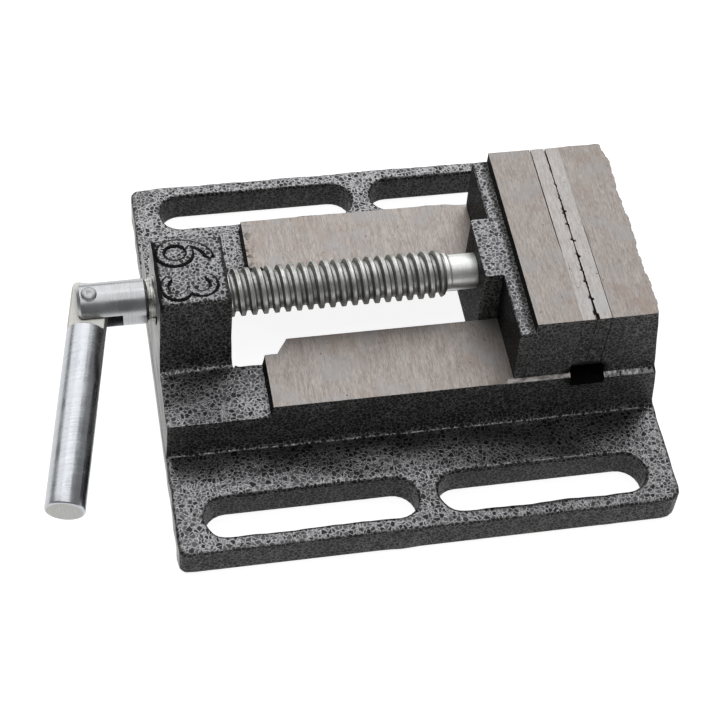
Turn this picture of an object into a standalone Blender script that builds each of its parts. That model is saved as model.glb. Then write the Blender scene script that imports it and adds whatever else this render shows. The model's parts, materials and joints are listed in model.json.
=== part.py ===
"""Drill press vise with a 63.5 mm jaw, closed, as separate pieces.

The axes: X runs along the lead screw from the handle to the fixed jaw, Y across
the ways, Z up. The origin is under the middle of the base, on the table.
All sizes are in metres.
"""

import math

import bmesh
import bpy
from mathutils import Euler, Matrix, Vector

# Clearances
FIT = 0.0003                    # gap between pieces that touch or run on each other
CUT_PAST = 0.003                # how far a cutter runs past the face that it opens
SEAT_LAP = 0.004                # how deep joined forms reach into each other

# Base plate
BASE_LENGTH = 0.1420
BASE_WIDTH = 0.1325
FLANGE_THICKNESS = 0.0102
BASE_CORNER_RADIUS = 0.0045
CAST_EDGE_RADIUS = 0.0010
END_LEAN_LEFT = 0.0013          # how far the handle end leans in, over the block's height
END_LEAN_RIGHT = 0.0060         # the same for the jaw end, over the fixed jaw's height

# Clamping slots
SLOT_WIDTH = 0.0127
SLOT_LENGTH = 0.0598
SLOT_BRIDGE = 0.0060
SLOT_EDGE_MARGIN = 0.0045       # from a slot's outer side to the flange's edge

# Bed and ways
BED_WIDTH = 0.0670
BED_WALL_DRAFT = 0.0011         # how far each wall leans out at the flange
BED_FOOT_RADIUS = 0.0035
LEDGE_HEIGHT = 0.0243           # of the cast ledge between the handle end and the ways
WAY_RISE = 0.0042               # of the ground ways above the ledge
WAY_START = 0.0293              # from the handle end to the first ground pad
WAY_END_SLOPE = 0.0006
JAW_SHOULDER_DROP = 0.0010      # the cast shoulder beside the fixed jaw, below the ways

# Openings through the bed
SLIDE_SLOT_WIDTH = 0.0215
ENTRY_WIDTH = 0.0317
ENTRY_LENGTH = 0.0125           # of the wide entry's straight sides
ENTRY_SLOPE_LENGTH = 0.0032
ENTRY_CORNER_RADIUS = 0.0025
SLIDE_SLOT_END = 0.0013         # from the tongue's end to the slot's end, jaws closed
CHANNEL_WIDTH = 0.0480
CHANNEL_CORNER_RADIUS = 0.0060
WAY_THICKNESS = 0.0130
CHANNEL_END_MARGIN = 0.0030     # from the slide slot's ends to the channel's ends

# Nut block
BLOCK_LENGTH = 0.0209
BLOCK_WIDTH = 0.0237
BLOCK_WALL = 0.0115             # from the screw's axis to the top
BLOCK_TOP_RADIUS = 0.0012
BLOCK_FOOT_RADIUS = 0.0025

# Jaws
JAW_WIDTH = 0.0635
FIXED_JAW_THICKNESS = 0.0132    # at the top
RELIEF_LENGTH = 0.0100          # the groove at the fixed jaw's foot
RELIEF_UNDERCUT = 0.0014
RELIEF_HEIGHT = 0.0066
RELIEF_RADIUS = 0.0015
PLATE_THICKNESS = 0.0040
PLATE_RISE = 0.0026             # of the plates' lower edge above the ways
MOVING_JAW_GROUND = 0.0123      # length of the ground top
STEP_LENGTH = 0.0044            # the lower cast strip behind the ground top
BOSS_WALL = 0.0101              # from the screw's axis to the lower strip's top
GROUND_RISE = 0.0037            # of the ground top above the lower strip
JAW_BACK_DRAFT = 0.0006
BOSS_LENGTH = 0.0050
TONGUE_LENGTH = 0.0200
TONGUE_SIDE_GAP = 0.00035
BOSS_TOP_DROP = 0.0002
BOSS_EDGE_RADIUS = 0.0008

# Lead screw, a right-hand trapezoidal thread
SCREW_RISE = 0.0094             # of the axis above the ways
THREAD_DIAMETER = 0.0135
THREAD_ROOT_DIAMETER = 0.0107
THREAD_PITCH = 0.003175
THREAD_CREST_SHARE = 0.36       # of the pitch
THREAD_ROOT_SHARE = 0.30
THREAD_SEGMENTS = 24
JOURNAL_DIAMETER = 0.0102
NECK_LENGTH = 0.0095            # the plain part before the boss
JOURNAL_DEPTH = 0.0158          # in the boss
GROOVE_DIAMETER = 0.0064
GROOVE_DEPTH = 0.0113           # from the boss's face to the groove's middle
HEAD_DIAMETER = 0.0126
HEAD_LENGTH = 0.0195
HEAD_CHAMFER = 0.0005
HEAD_STANDOFF = 0.0008          # from the handle end of the base to the head's shoulder
FORK_SLOT = 0.0052
FORK_DEPTH = 0.0121
FORK_PIN_MARGIN = 0.0034        # from the fork's end to the pin
SCREW_TURN = math.radians(7.0)  # of the fork, as the screw stands when the jaws are closed

# Handle
HANDLE_DIAMETER = 0.0108
HANDLE_REACH = 0.0627           # from the pin to the handle's end
HANDLE_CHAMFER = 0.0004
TANG_THICKNESS = 0.0046
TANG_LENGTH = 0.0083            # from the pin to the round part
TANG_TAIL = 0.0060              # past the pin
TANG_CORNER_RADIUS = 0.0020
PIN_DIAMETER = 0.0046
HANDLE_SWING = math.radians(-11.1)

# Fasteners
PLATE_SCREW_DIAMETER = 0.0047
PLATE_SCREW_HEAD = 0.0092
PLATE_SCREW_LENGTH = 0.0125
PLATE_SCREW_SPACING = 0.0400
PLATE_SCREW_SINK = 0.0003       # of the head, below the plate's face
DRIVE_SLOT_WIDTH = 0.0012
DRIVE_SLOT_DEPTH = 0.0013
KEEPER_LENGTH = 0.0180
KEEPER_WIDTH = 0.0360
KEEPER_THICKNESS = 0.0040
KEEPER_CORNER_RADIUS = 0.0020
KEEPER_SCREW_DIAMETER = 0.0048
KEEPER_SCREW_SPACING = 0.0100
KEEPER_SCREW_GRIP = 0.0100      # how far the screws reach into the tongue
HEX_ACROSS_FLATS = 0.0080
HEX_HEIGHT = 0.0034
WASHER_DIAMETER = 0.0090
WASHER_THICKNESS = 0.0012
WASHER_SPLIT = 0.0009
RETAINER_DIAMETER = 0.0030
RETAINER_LENGTH = 0.0260

# Heights and places that follow from the sizes
WAY_HEIGHT = LEDGE_HEIGHT + WAY_RISE
SCREW_HEIGHT = WAY_HEIGHT + SCREW_RISE
BLOCK_HEIGHT = SCREW_HEIGHT + BLOCK_WALL
STEP_HEIGHT = SCREW_HEIGHT + BOSS_WALL
JAW_HEIGHT = STEP_HEIGHT + GROUND_RISE
PLATE_FOOT = WAY_HEIGHT + PLATE_RISE
PLATE_SCREW_HEIGHT = (PLATE_FOOT + JAW_HEIGHT) / 2
HANDLE_END = -BASE_LENGTH / 2
JAW_END = BASE_LENGTH / 2
BLOCK_FACE = HANDLE_END + BLOCK_LENGTH
FIXED_SEAT = JAW_END - END_LEAN_RIGHT - FIXED_JAW_THICKNESS
FIXED_PLATE_BACK = FIXED_SEAT - FIT
JAW_LINE = FIXED_PLATE_BACK - PLATE_THICKNESS - FIT / 2
MOVING_PLATE_BACK = JAW_LINE - FIT / 2 - PLATE_THICKNESS
MOVING_SEAT = MOVING_PLATE_BACK - FIT
GROUND_BACK = MOVING_SEAT - MOVING_JAW_GROUND
JAW_BACK = GROUND_BACK - STEP_LENGTH
BOSS_FACE = JAW_BACK - BOSS_LENGTH
TONGUE_END = BOSS_FACE + TONGUE_LENGTH
THREAD_END = BOSS_FACE - NECK_LENGTH
THREAD_START = HANDLE_END + HEAD_STANDOFF
HEAD_SHOULDER = HANDLE_END - HEAD_STANDOFF
HEAD_END = HEAD_SHOULDER - HEAD_LENGTH
PIN_PLACE = HEAD_END + FORK_PIN_MARGIN
WAY_UNDERSIDE = WAY_HEIGHT - WAY_THICKNESS
KEEPER_TOP = WAY_UNDERSIDE - FIT
TONGUE_MIDDLE = (BOSS_FACE + TONGUE_END) / 2
SLIDE_SLOT_STOP = TONGUE_END + SLIDE_SLOT_END


def clear_scene():
    """Remove every object and the meshes, curves and materials that they used."""
    for item in list(bpy.data.objects):
        bpy.data.objects.remove(item, do_unlink=True)
    for store in (bpy.data.meshes, bpy.data.curves, bpy.data.materials, bpy.data.collections):
        for item in list(store):
            store.remove(item)


def new_collection(name):
    """Add a collection to the scene and return it."""
    group = bpy.data.collections.new(name)
    bpy.context.scene.collection.children.link(group)
    return group


def new_material(name, colour, metallic, roughness):
    """Return a Principled material."""
    finish = bpy.data.materials.new(name)
    finish.use_nodes = True
    shader = finish.node_tree.nodes["Principled BSDF"]
    shader.inputs["Base Color"].default_value = (*colour, 1.0)
    shader.inputs["Metallic"].default_value = metallic
    shader.inputs["Roughness"].default_value = roughness
    return finish


def fillet_outline(corners, steps=4):
    """Return a polygon's outline with each corner (x, y, radius) rounded to its radius."""
    outline = []
    for index, (x, y, radius) in enumerate(corners):
        corner = Vector((x, y))
        if radius <= 0.0:
            outline.append(corner)
            continue
        before = (Vector(corners[index - 1][:2]) - corner).normalized()
        after = (Vector(corners[(index + 1) % len(corners)][:2]) - corner).normalized()
        half = before.angle(after) / 2
        centre = corner + (before + after).normalized() * radius / math.sin(half)
        start = corner + before * radius / math.tan(half) - centre
        finish = corner + after * radius / math.tan(half) - centre
        sweep = math.atan2(start.cross(finish), start.dot(finish))
        for step in range(steps + 1):
            angle = sweep * step / steps
            outline.append(centre + Matrix.Rotation(angle, 2) @ start)
    return outline


def rounded_rectangle(x0, x1, y0, y1, radius, steps=4):
    """Return a rectangle's outline with four equal round corners."""
    corners = [(x0, y0, radius), (x1, y0, radius), (x1, y1, radius), (x0, y1, radius)]
    return fillet_outline(corners, steps)


def mirrored_section(half):
    """Return the outline whose right half runs up from the foot to the middle."""
    return list(half) + [(-x, y) for x, y in reversed(half) if x > 0.0]


class Workshop:
    """Makes solids in one frame and puts them in the model's collections."""

    def __init__(self, parts, cutters, frame=None):
        self.parts = parts
        self.cutters = cutters
        self.frame = frame

    def within(self, name, location, rotation=(0.0, 0.0, 0.0)):
        """Return a workshop in a new empty's frame, placed in this one."""
        empty = bpy.data.objects.new(name, None)
        empty.empty_display_size = 0.01
        empty.location = location
        empty.rotation_euler = Euler(rotation)
        empty.parent = self.frame
        self.parts.objects.link(empty)
        return Workshop(self.parts, self.cutters, empty)

    def part(self, name, mesh, finish):
        """Make a piece of the object from a mesh."""
        mesh.materials.clear()
        mesh.materials.append(finish)
        piece = bpy.data.objects.new(name, mesh)
        piece.parent = self.frame
        self.parts.objects.link(piece)
        return piece

    def join(self, piece, mesh, operation="DIFFERENCE"):
        """Cut, join or trim a piece by a hidden tool made from a mesh."""
        tool = bpy.data.objects.new(f"{piece.name}_tool_{len(piece.modifiers) + 1}", mesh)
        tool.parent = self.frame
        tool.hide_render = True
        tool.display_type = "WIRE"
        self.cutters.objects.link(tool)
        step = piece.modifiers.new(f"{operation.lower()}_{tool.name}", "BOOLEAN")
        step.operation = operation
        step.solver = "EXACT"
        step.object = tool


def mesh_from(bm, name):
    """Turn a bmesh into a mesh whose faces point outwards."""
    bmesh.ops.recalc_face_normals(bm, faces=bm.faces)
    if bm.calc_volume(signed=True) < 0.0:
        bmesh.ops.reverse_faces(bm, faces=bm.faces)
    mesh = bpy.data.meshes.new(name)
    bm.to_mesh(mesh)
    bm.free()
    return mesh


def evaluated_mesh(source):
    """Return the mesh that an object's curve or modifiers make, and remove the object."""
    bpy.context.scene.collection.objects.link(source)
    graph = bpy.context.evaluated_depsgraph_get()
    mesh = bpy.data.meshes.new_from_object(source.evaluated_get(graph))
    bpy.data.objects.remove(source, do_unlink=True)
    bm = bmesh.new()
    bm.from_mesh(mesh)
    bmesh.ops.remove_doubles(bm, verts=bm.verts, dist=1e-7)
    bpy.data.meshes.remove(mesh)
    return bm


TURNS = {
    "Z": Matrix(((1, 0, 0), (0, 1, 0), (0, 0, 1))),
    "Y": Matrix(((1, 0, 0), (0, 0, -1), (0, 1, 0))),
    "X": Matrix(((0, 0, 1), (1, 0, 0), (0, 1, 0))),
}


def extruded(name, outlines, low, high, along="Z", edge_radius=0.0):
    """Extrude flat outlines between two levels along an axis.

    An outline's own x and y are X and Y along Z, X and Z along Y, Y and Z along X.
    """
    curve = bpy.data.curves.new(name, "CURVE")
    curve.dimensions = "2D"
    curve.fill_mode = "BOTH"
    curve.extrude = (high - low) / 2 - edge_radius
    curve.bevel_depth = edge_radius
    curve.bevel_resolution = 1
    curve.offset = -edge_radius
    for outline in outlines:
        spline = curve.splines.new("POLY")
        spline.points.add(len(outline) - 1)
        for point, place in zip(spline.points, outline):
            point.co = (place[0], place[1], 0.0, 1.0)
        spline.use_cyclic_u = True
    bm = evaluated_mesh(bpy.data.objects.new(name, curve))
    bpy.data.curves.remove(curve)
    middle = (high + low) / 2 * (-1 if along == "Y" else 1)
    bm.transform(TURNS[along].to_4x4() @ Matrix.Translation((0.0, 0.0, middle)))
    return mesh_from(bm, name)


def turned(name, profile, axis="X", steps=32, place=(0.0, 0.0, 0.0), pitch=0.0, turns=1):
    """Turn a profile of (radius, distance along the axis) points; a pitch makes it a helix."""
    mesh = bpy.data.meshes.new(name)
    edges = [(index, index + 1) for index in range(len(profile) - 1)]
    mesh.from_pydata([(radius, 0.0, along) for radius, along in profile], edges, [])
    source = bpy.data.objects.new(name, mesh)
    spin = source.modifiers.new("turn", "SCREW")
    spin.steps = spin.render_steps = steps
    spin.screw_offset = pitch
    spin.iterations = turns
    spin.use_merge_vertices = pitch == 0.0
    spin.merge_threshold = 1e-6
    bm = evaluated_mesh(source)
    bpy.data.meshes.remove(mesh)
    if pitch:
        close_helix(bm)
    direction = {"X": Vector((1, 0, 0)), "Y": Vector((0, 1, 0)), "Z": Vector((0, 0, 1))}[axis]
    turn = Vector((0, 0, 1)).rotation_difference(direction).to_matrix().to_4x4()
    bm.transform(Matrix.Translation(place) @ turn)
    return mesh_from(bm, name)


def close_helix(bm):
    """Close both ends of a helical tube around Z with a fan from the axis."""
    rim = [edge for edge in bm.edges if edge.is_boundary]
    middle = sum(vert.co.z for vert in bm.verts) / len(bm.verts)
    for side in (-1, 1):
        ring = [edge for edge in rim if (sum(v.co.z for v in edge.verts) / 2 - middle) * side > 0]
        height = sum(v.co.z for edge in ring for v in edge.verts) / (2 * len(ring))
        centre = bm.verts.new((0.0, 0.0, height))
        for edge in ring:
            bm.faces.new((*edge.verts, centre))


def lofted(name, rings):
    """Join rings of equally many points, one after another, into a closed solid."""
    bm = bmesh.new()
    loops = [[bm.verts.new(point) for point in ring] for ring in rings]
    for low, high in zip(loops, loops[1:]):
        for index in range(len(low)):
            bm.faces.new((low[index - 1], low[index], high[index], high[index - 1]))
    bm.faces.new(loops[0])
    bm.faces.new(loops[-1])
    return mesh_from(bm, name)


def rod(name, radius, start, finish, segments=32):
    """Make a cylinder between two points."""
    start, finish = Vector(start), Vector(finish)
    axis = finish - start
    bm = bmesh.new()
    bmesh.ops.create_cone(bm, cap_ends=True, segments=segments, radius1=radius, radius2=radius,
                          depth=axis.length)
    turn = Vector((0, 0, 1)).rotation_difference(axis).to_matrix().to_4x4()
    bm.transform(Matrix.Translation((start + finish) / 2) @ turn)
    return mesh_from(bm, name)


def box(name, low, high):
    """Make a box between two corners."""
    low, high = Vector(low), Vector(high)
    bm = bmesh.new()
    bmesh.ops.create_cube(bm, size=1.0)
    bm.transform(Matrix.Translation((low + high) / 2) @ Matrix.Diagonal((*(high - low), 1.0)))
    return mesh_from(bm, name)


def smooth(piece, angle=math.radians(35)):
    """Shade the round stretches of a piece smooth."""
    piece.data.shade_smooth()
    piece.data.set_sharp_from_angle(angle=angle)


def footed_section(width, height, foot, draft, foot_radius, top_radius):
    """Return a wall's cross section: drafted sides, round top corners and a hollow foot."""
    half, low = width / 2, foot - SEAT_LAP
    skirt = half + draft + foot_radius
    top = fillet_outline([(0.0, foot, 0.0), (half + draft, foot, 0.0),
                          (half, height, top_radius), (0.0, height, 0.0)])
    hollow = [(half + draft + foot_radius * (1 - math.sin(angle)),
               foot + foot_radius * (1 - math.cos(angle)))
              for angle in (math.radians(90) * step / 4 for step in range(1, 4))]
    return mirrored_section([(skirt, low), (skirt, foot), *hollow,
                             (half + draft, foot + foot_radius), *top[2:-1]])


def slot_tool(x, y):
    """Return the cutter of a clamping slot, flared so that it leaves round casting edges."""
    radius = CAST_EDGE_RADIUS
    flare = [(radius * (1 - math.sin(angle)), radius * (1 - math.cos(angle)))
             for angle in (math.radians(30) * step for step in range(4))]
    levels = [(radius, -CUT_PAST), *flare,
              *[(grown, FLANGE_THICKNESS - depth) for grown, depth in reversed(flare)],
              (radius, FLANGE_THICKNESS + CUT_PAST)]
    straight = SLOT_LENGTH / 2 - SLOT_WIDTH / 2
    rings = []
    for grown, height in levels:
        end = SLOT_WIDTH / 2 + grown
        angles = [math.radians(15) * step for step in range(-6, 7)]
        ring = [(x + straight + end * math.cos(angle), y + end * math.sin(angle), height)
                for angle in angles]
        rings.append(ring + [(2 * x - along, 2 * y - across, high) for along, across, high in ring])
    return lofted("slot", rings)


def build_base(shop, finish):
    """Build the casting: slotted flange, bed with two ways, nut block and fixed jaw."""
    half_width = BASE_WIDTH / 2
    rim = rounded_rectangle(HANDLE_END, JAW_END, -half_width, half_width, BASE_CORNER_RADIUS)
    flange = extruded("flange", [rim], 0.0, FLANGE_THICKNESS, edge_radius=CAST_EDGE_RADIUS)
    base = shop.part("base_casting", flange, finish)
    shop.join(base, bed_and_jaw_mesh(shop, finish), "UNION")

    slot_middle = half_width - SLOT_EDGE_MARGIN - SLOT_WIDTH / 2
    for side in (-1, 1):
        for end in (-1, 1):
            middle = (SLOT_BRIDGE + SLOT_LENGTH) / 2 * end
            shop.join(base, slot_tool(middle, side * slot_middle))
    entry_start = BLOCK_FACE + FIT / 2
    entry_end = entry_start + ENTRY_LENGTH
    slope_end = entry_end + ENTRY_SLOPE_LENGTH
    wide, narrow = ENTRY_WIDTH / 2, SLIDE_SLOT_WIDTH / 2
    opening = fillet_outline([
        (entry_start, -wide, ENTRY_CORNER_RADIUS), (entry_end, -wide, 0.0),
        (slope_end, -narrow, 0.0), (SLIDE_SLOT_STOP, -narrow, CAST_EDGE_RADIUS),
        (SLIDE_SLOT_STOP, narrow, CAST_EDGE_RADIUS), (slope_end, narrow, 0.0),
        (entry_end, wide, 0.0), (entry_start, wide, ENTRY_CORNER_RADIUS)])
    shop.join(base, extruded("opening", [opening], -CUT_PAST, WAY_HEIGHT + CUT_PAST))
    channel = rounded_rectangle(
        entry_start + CHANNEL_END_MARGIN, SLIDE_SLOT_STOP + CHANNEL_END_MARGIN,
        -CHANNEL_WIDTH / 2, CHANNEL_WIDTH / 2, CHANNEL_CORNER_RADIUS)
    shop.join(base, extruded("channel", [channel], -CUT_PAST, WAY_UNDERSIDE))
    shop.join(base, rod("nut_bore", THREAD_DIAMETER / 2 + FIT,
                        (HANDLE_END - CUT_PAST, 0.0, SCREW_HEIGHT),
                        (BLOCK_FACE + CUT_PAST, 0.0, SCREW_HEIGHT)))
    for place in plate_screw_places():
        shop.join(base, rod("tapped_hole", PLATE_SCREW_DIAMETER / 2 + FIT,
                            (FIXED_SEAT - CUT_PAST, *place),
                            (JAW_LINE + PLATE_SCREW_LENGTH + 2 * FIT, *place), 16))
    return base


def bed_and_jaw_mesh(shop, finish):
    """Return one mesh of the bed, the nut block and the fixed jaw, leaning in at both ends."""
    shoulder = WAY_HEIGHT - JAW_SHOULDER_DROP
    relief_end = FIXED_SEAT + RELIEF_UNDERCUT
    way_start = HANDLE_END + WAY_START
    low = FLANGE_THICKNESS - SEAT_LAP
    section = footed_section(BED_WIDTH, WAY_HEIGHT + CUT_PAST, FLANGE_THICKNESS,
                             BED_WALL_DRAFT, BED_FOOT_RADIUS, 0.0)
    bed = shop.part("bed_form", extruded("bed", [section], HANDLE_END - CUT_PAST,
                                         JAW_END + CUT_PAST, along="X"), finish)
    profile = [(HANDLE_END - 2 * CUT_PAST, low - CUT_PAST), (JAW_END + 2 * CUT_PAST, low - CUT_PAST),
               (JAW_END + 2 * CUT_PAST, shoulder), (relief_end - RELIEF_LENGTH / 2, shoulder),
               (relief_end - RELIEF_LENGTH / 2, WAY_HEIGHT), (way_start + WAY_END_SLOPE, WAY_HEIGHT),
               (way_start, LEDGE_HEIGHT), (HANDLE_END - 2 * CUT_PAST, LEDGE_HEIGHT)]
    shop.join(bed, extruded("bed_profile", [profile], -BASE_WIDTH / 2, BASE_WIDTH / 2, along="Y"),
              "INTERSECT")
    block = footed_section(BLOCK_WIDTH, BLOCK_HEIGHT, LEDGE_HEIGHT, 0.0, BLOCK_FOOT_RADIUS,
                           BLOCK_TOP_RADIUS)
    shop.join(bed, extruded("nut_block", [block], HANDLE_END - CUT_PAST, BLOCK_FACE, along="X"),
              "UNION")
    shop.join(bed, box("fixed_jaw", (FIXED_SEAT, -JAW_WIDTH / 2, shoulder - SEAT_LAP),
                       (JAW_END + CUT_PAST, JAW_WIDTH / 2, JAW_HEIGHT)), "UNION")
    relief = rounded_rectangle(relief_end - RELIEF_LENGTH, relief_end,
                               LEDGE_HEIGHT, LEDGE_HEIGHT + RELIEF_HEIGHT, RELIEF_RADIUS)
    shop.join(bed, extruded("relief", [relief], -BED_WIDTH, BED_WIDTH, along="Y"))
    top = JAW_HEIGHT + CUT_PAST
    lean_left = END_LEAN_LEFT / (BLOCK_HEIGHT - FLANGE_THICKNESS)
    lean_right = END_LEAN_RIGHT / (JAW_HEIGHT - FLANGE_THICKNESS)
    depth = low - CUT_PAST
    ends = [(HANDLE_END + FIT / 3, depth), (JAW_END - FIT / 3, depth),
            (JAW_END - FIT / 3, FLANGE_THICKNESS),
            (JAW_END - FIT / 3 - lean_right * (top - FLANGE_THICKNESS), top),
            (HANDLE_END + FIT / 3 + lean_left * (top - FLANGE_THICKNESS), top),
            (HANDLE_END + FIT / 3, FLANGE_THICKNESS)]
    shop.join(bed, extruded("end_faces", [ends], -BASE_WIDTH / 2, BASE_WIDTH / 2, along="Y"),
              "INTERSECT")
    return baked(bed)


def baked(piece):
    """Return the mesh that a piece's modifiers make, and remove the piece and its tools."""
    graph = bpy.context.evaluated_depsgraph_get()
    mesh = bpy.data.meshes.new_from_object(piece.evaluated_get(graph))
    for step in piece.modifiers:
        bpy.data.objects.remove(step.object, do_unlink=True)
    bpy.data.objects.remove(piece, do_unlink=True)
    return mesh


def plate_screw_places():
    """Return the (y, z) places of the screws in one jaw plate."""
    return [(side * PLATE_SCREW_SPACING / 2, PLATE_SCREW_HEIGHT) for side in (-1, 1)]


def keeper_screw_places():
    """Return the x places of the screws that hold the keeper plate."""
    return [TONGUE_MIDDLE + side * KEEPER_SCREW_SPACING / 2 for side in (-1, 1)]


def retainer_place():
    """Return the (x, y) place of the pin beside the lead screw's groove."""
    return BOSS_FACE + GROOVE_DEPTH, GROOVE_DIAMETER / 2 + FIT + RETAINER_DIAMETER / 2


def build_moving_jaw(shop, finish):
    """Build the sliding jaw: ground top, lower strip, boss, and a tongue between the ways."""
    sole = WAY_HEIGHT + FIT
    profile = fillet_outline([
        (JAW_BACK + JAW_BACK_DRAFT, sole, 0.0), (MOVING_SEAT, sole, 0.0),
        (MOVING_SEAT, JAW_HEIGHT, 0.0), (GROUND_BACK, JAW_HEIGHT, 0.0),
        (GROUND_BACK, STEP_HEIGHT, 0.0), (JAW_BACK, STEP_HEIGHT, BOSS_EDGE_RADIUS)])
    jaw = shop.part("moving_jaw", extruded("jaw", [profile], -JAW_WIDTH / 2, JAW_WIDTH / 2,
                                           along="Y"), finish)
    half = SLIDE_SLOT_WIDTH / 2 - TONGUE_SIDE_GAP
    tongue = fillet_outline([(BOSS_FACE, -half, BOSS_EDGE_RADIUS), (TONGUE_END, -half, 0.0),
                             (TONGUE_END, half, 0.0), (BOSS_FACE, half, BOSS_EDGE_RADIUS)])
    shop.join(jaw, extruded("tongue", [tongue], WAY_UNDERSIDE, sole + SEAT_LAP), "UNION")
    boss = fillet_outline([(BOSS_FACE, -half, BOSS_EDGE_RADIUS), (GROUND_BACK, -half, 0.0),
                           (GROUND_BACK, half, 0.0), (BOSS_FACE, half, BOSS_EDGE_RADIUS)])
    shop.join(jaw, extruded("boss", [boss], sole, STEP_HEIGHT - BOSS_TOP_DROP), "UNION")
    shop.join(jaw, rod("journal_bore", JOURNAL_DIAMETER / 2 + FIT,
                       (BOSS_FACE - CUT_PAST, 0.0, SCREW_HEIGHT),
                       (BOSS_FACE + JOURNAL_DEPTH + FIT, 0.0, SCREW_HEIGHT)))
    for place in plate_screw_places():
        shop.join(jaw, rod("tapped_hole", PLATE_SCREW_DIAMETER / 2 + FIT,
                           (MOVING_SEAT + CUT_PAST, *place),
                           (JAW_LINE - PLATE_SCREW_LENGTH - 2 * FIT, *place), 16))
    for x in keeper_screw_places():
        shop.join(jaw, rod("keeper_hole", KEEPER_SCREW_DIAMETER / 2 + FIT,
                           (x, 0.0, WAY_UNDERSIDE - CUT_PAST),
                           (x, 0.0, WAY_UNDERSIDE + KEEPER_SCREW_GRIP + FIT), 16))
    x, y = retainer_place()
    shop.join(jaw, rod("retainer_hole", RETAINER_DIAMETER / 2 + FIT,
                       (x, y, WAY_UNDERSIDE - CUT_PAST),
                       (x, y, WAY_UNDERSIDE + RETAINER_LENGTH + 2 * FIT), 16))
    return jaw


def build_jaw_plate(shop, name, back, facing, finish):
    """Build a jaw plate with two countersunk holes; facing is the way that it grips."""
    face = back + facing * PLATE_THICKNESS
    plate = shop.part(name, box(name, (min(back, face), -JAW_WIDTH / 2, PLATE_FOOT),
                                (max(back, face), JAW_WIDTH / 2, JAW_HEIGHT)), finish)
    shank = PLATE_SCREW_DIAMETER / 2 + FIT
    rim = PLATE_SCREW_HEAD / 2 + FIT * math.sqrt(2) + PLATE_SCREW_SINK
    profile = [(0.0, -facing * CUT_PAST), (rim, -facing * CUT_PAST), (rim, 0.0),
               (shank, facing * (rim - shank)), (shank, facing * (PLATE_THICKNESS + CUT_PAST)),
               (0.0, facing * (PLATE_THICKNESS + CUT_PAST))]
    profile = [(radius, -along) for radius, along in profile]
    for y, z in plate_screw_places():
        shop.join(plate, turned("countersink", profile, "X", 24, (face, y, z)))
    return plate


def build_plate_screw(shop, name, plate_face, facing, place, finish):
    """Build a countersunk screw, its head a little below the plate's face."""
    head, shank = PLATE_SCREW_HEAD / 2, PLATE_SCREW_DIAMETER / 2
    depths = [(0.0, 0.0), (head, 0.0), (shank, head - shank),
              (shank, PLATE_SCREW_LENGTH - PLATE_THICKNESS + head - 2 * shank),
              (shank / 2, PLATE_SCREW_LENGTH - PLATE_SCREW_SINK),
              (0.0, PLATE_SCREW_LENGTH - PLATE_SCREW_SINK)]
    profile = [(radius, -facing * depth) for radius, depth in depths]
    top = plate_face - facing * PLATE_SCREW_SINK
    screw = shop.part(name, turned(name, profile, "X", 24, (top, *place)), finish)
    drive = box("drive_slot",
                (top - DRIVE_SLOT_DEPTH, place[0] - head - CUT_PAST, place[1] - DRIVE_SLOT_WIDTH / 2),
                (top + DRIVE_SLOT_DEPTH, place[0] + head + CUT_PAST, place[1] + DRIVE_SLOT_WIDTH / 2))
    shop.join(screw, drive)
    smooth(screw)
    return screw


def thread_profile():
    """Return one pitch of the thread, as (radius, distance along the axis)."""
    crest = THREAD_CREST_SHARE * THREAD_PITCH
    root = THREAD_ROOT_SHARE * THREAD_PITCH
    flank = (THREAD_PITCH - crest - root) / 2
    low, high = THREAD_ROOT_DIAMETER / 2, THREAD_DIAMETER / 2
    return [(low, 0.0), (high, flank), (high, flank + crest), (low, 2 * flank + crest),
            (low, THREAD_PITCH)]


def thread_mesh(shop, finish):
    """Return the helical thread, chamfered where it runs out at the neck."""
    turns = math.ceil((THREAD_END - THREAD_START) / THREAD_PITCH) + 2
    helix = turned("thread", thread_profile(), "X", THREAD_SEGMENTS,
                   (THREAD_START - THREAD_PITCH, 0.0, 0.0), THREAD_PITCH, turns)
    thread = shop.part("thread_form", helix, finish)
    crest = THREAD_DIAMETER / 2
    depth = crest - JOURNAL_DIAMETER / 2
    limits = [(0.0, THREAD_END), (JOURNAL_DIAMETER / 2, THREAD_END), (crest + FIT, THREAD_END - depth),
              (crest + FIT, THREAD_START), (0.0, THREAD_START)]
    shop.join(thread, turned("thread_limits", limits), "INTERSECT")
    return baked(thread)


def build_lead_screw(shop, finish):
    """Build the screw: fork head, helical thread, plain journal and retaining groove."""
    head, journal, groove = HEAD_DIAMETER / 2, JOURNAL_DIAMETER / 2, GROOVE_DIAMETER / 2
    tip = BOSS_FACE + JOURNAL_DEPTH
    groove_place, _ = retainer_place()
    groove_half = RETAINER_DIAMETER / 2 + FIT
    shank = [(0.0, tip), (journal - HEAD_CHAMFER, tip), (journal, tip - HEAD_CHAMFER),
             (journal, groove_place + groove_half), (groove, groove_place + groove_half),
             (groove, groove_place - groove_half), (journal, groove_place - groove_half),
             (journal, HEAD_SHOULDER), (head - HEAD_CHAMFER, HEAD_SHOULDER),
             (head, HEAD_SHOULDER - HEAD_CHAMFER), (head, HEAD_END + HEAD_CHAMFER),
             (head - HEAD_CHAMFER, HEAD_END), (0.0, HEAD_END)]
    screw = shop.part("lead_screw", turned("shank", shank), finish)
    shop.join(screw, box("fork_slot", (HEAD_END - CUT_PAST, -HEAD_DIAMETER, -FORK_SLOT / 2),
                         (HEAD_END + FORK_DEPTH, HEAD_DIAMETER, FORK_SLOT / 2)))
    shop.join(screw, rod("pin_hole", PIN_DIAMETER / 2 + FIT, (PIN_PLACE, 0.0, -HEAD_DIAMETER),
                         (PIN_PLACE, 0.0, HEAD_DIAMETER), 24))
    shop.join(screw, thread_mesh(shop, finish), "UNION")
    smooth(screw)
    return screw


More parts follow.
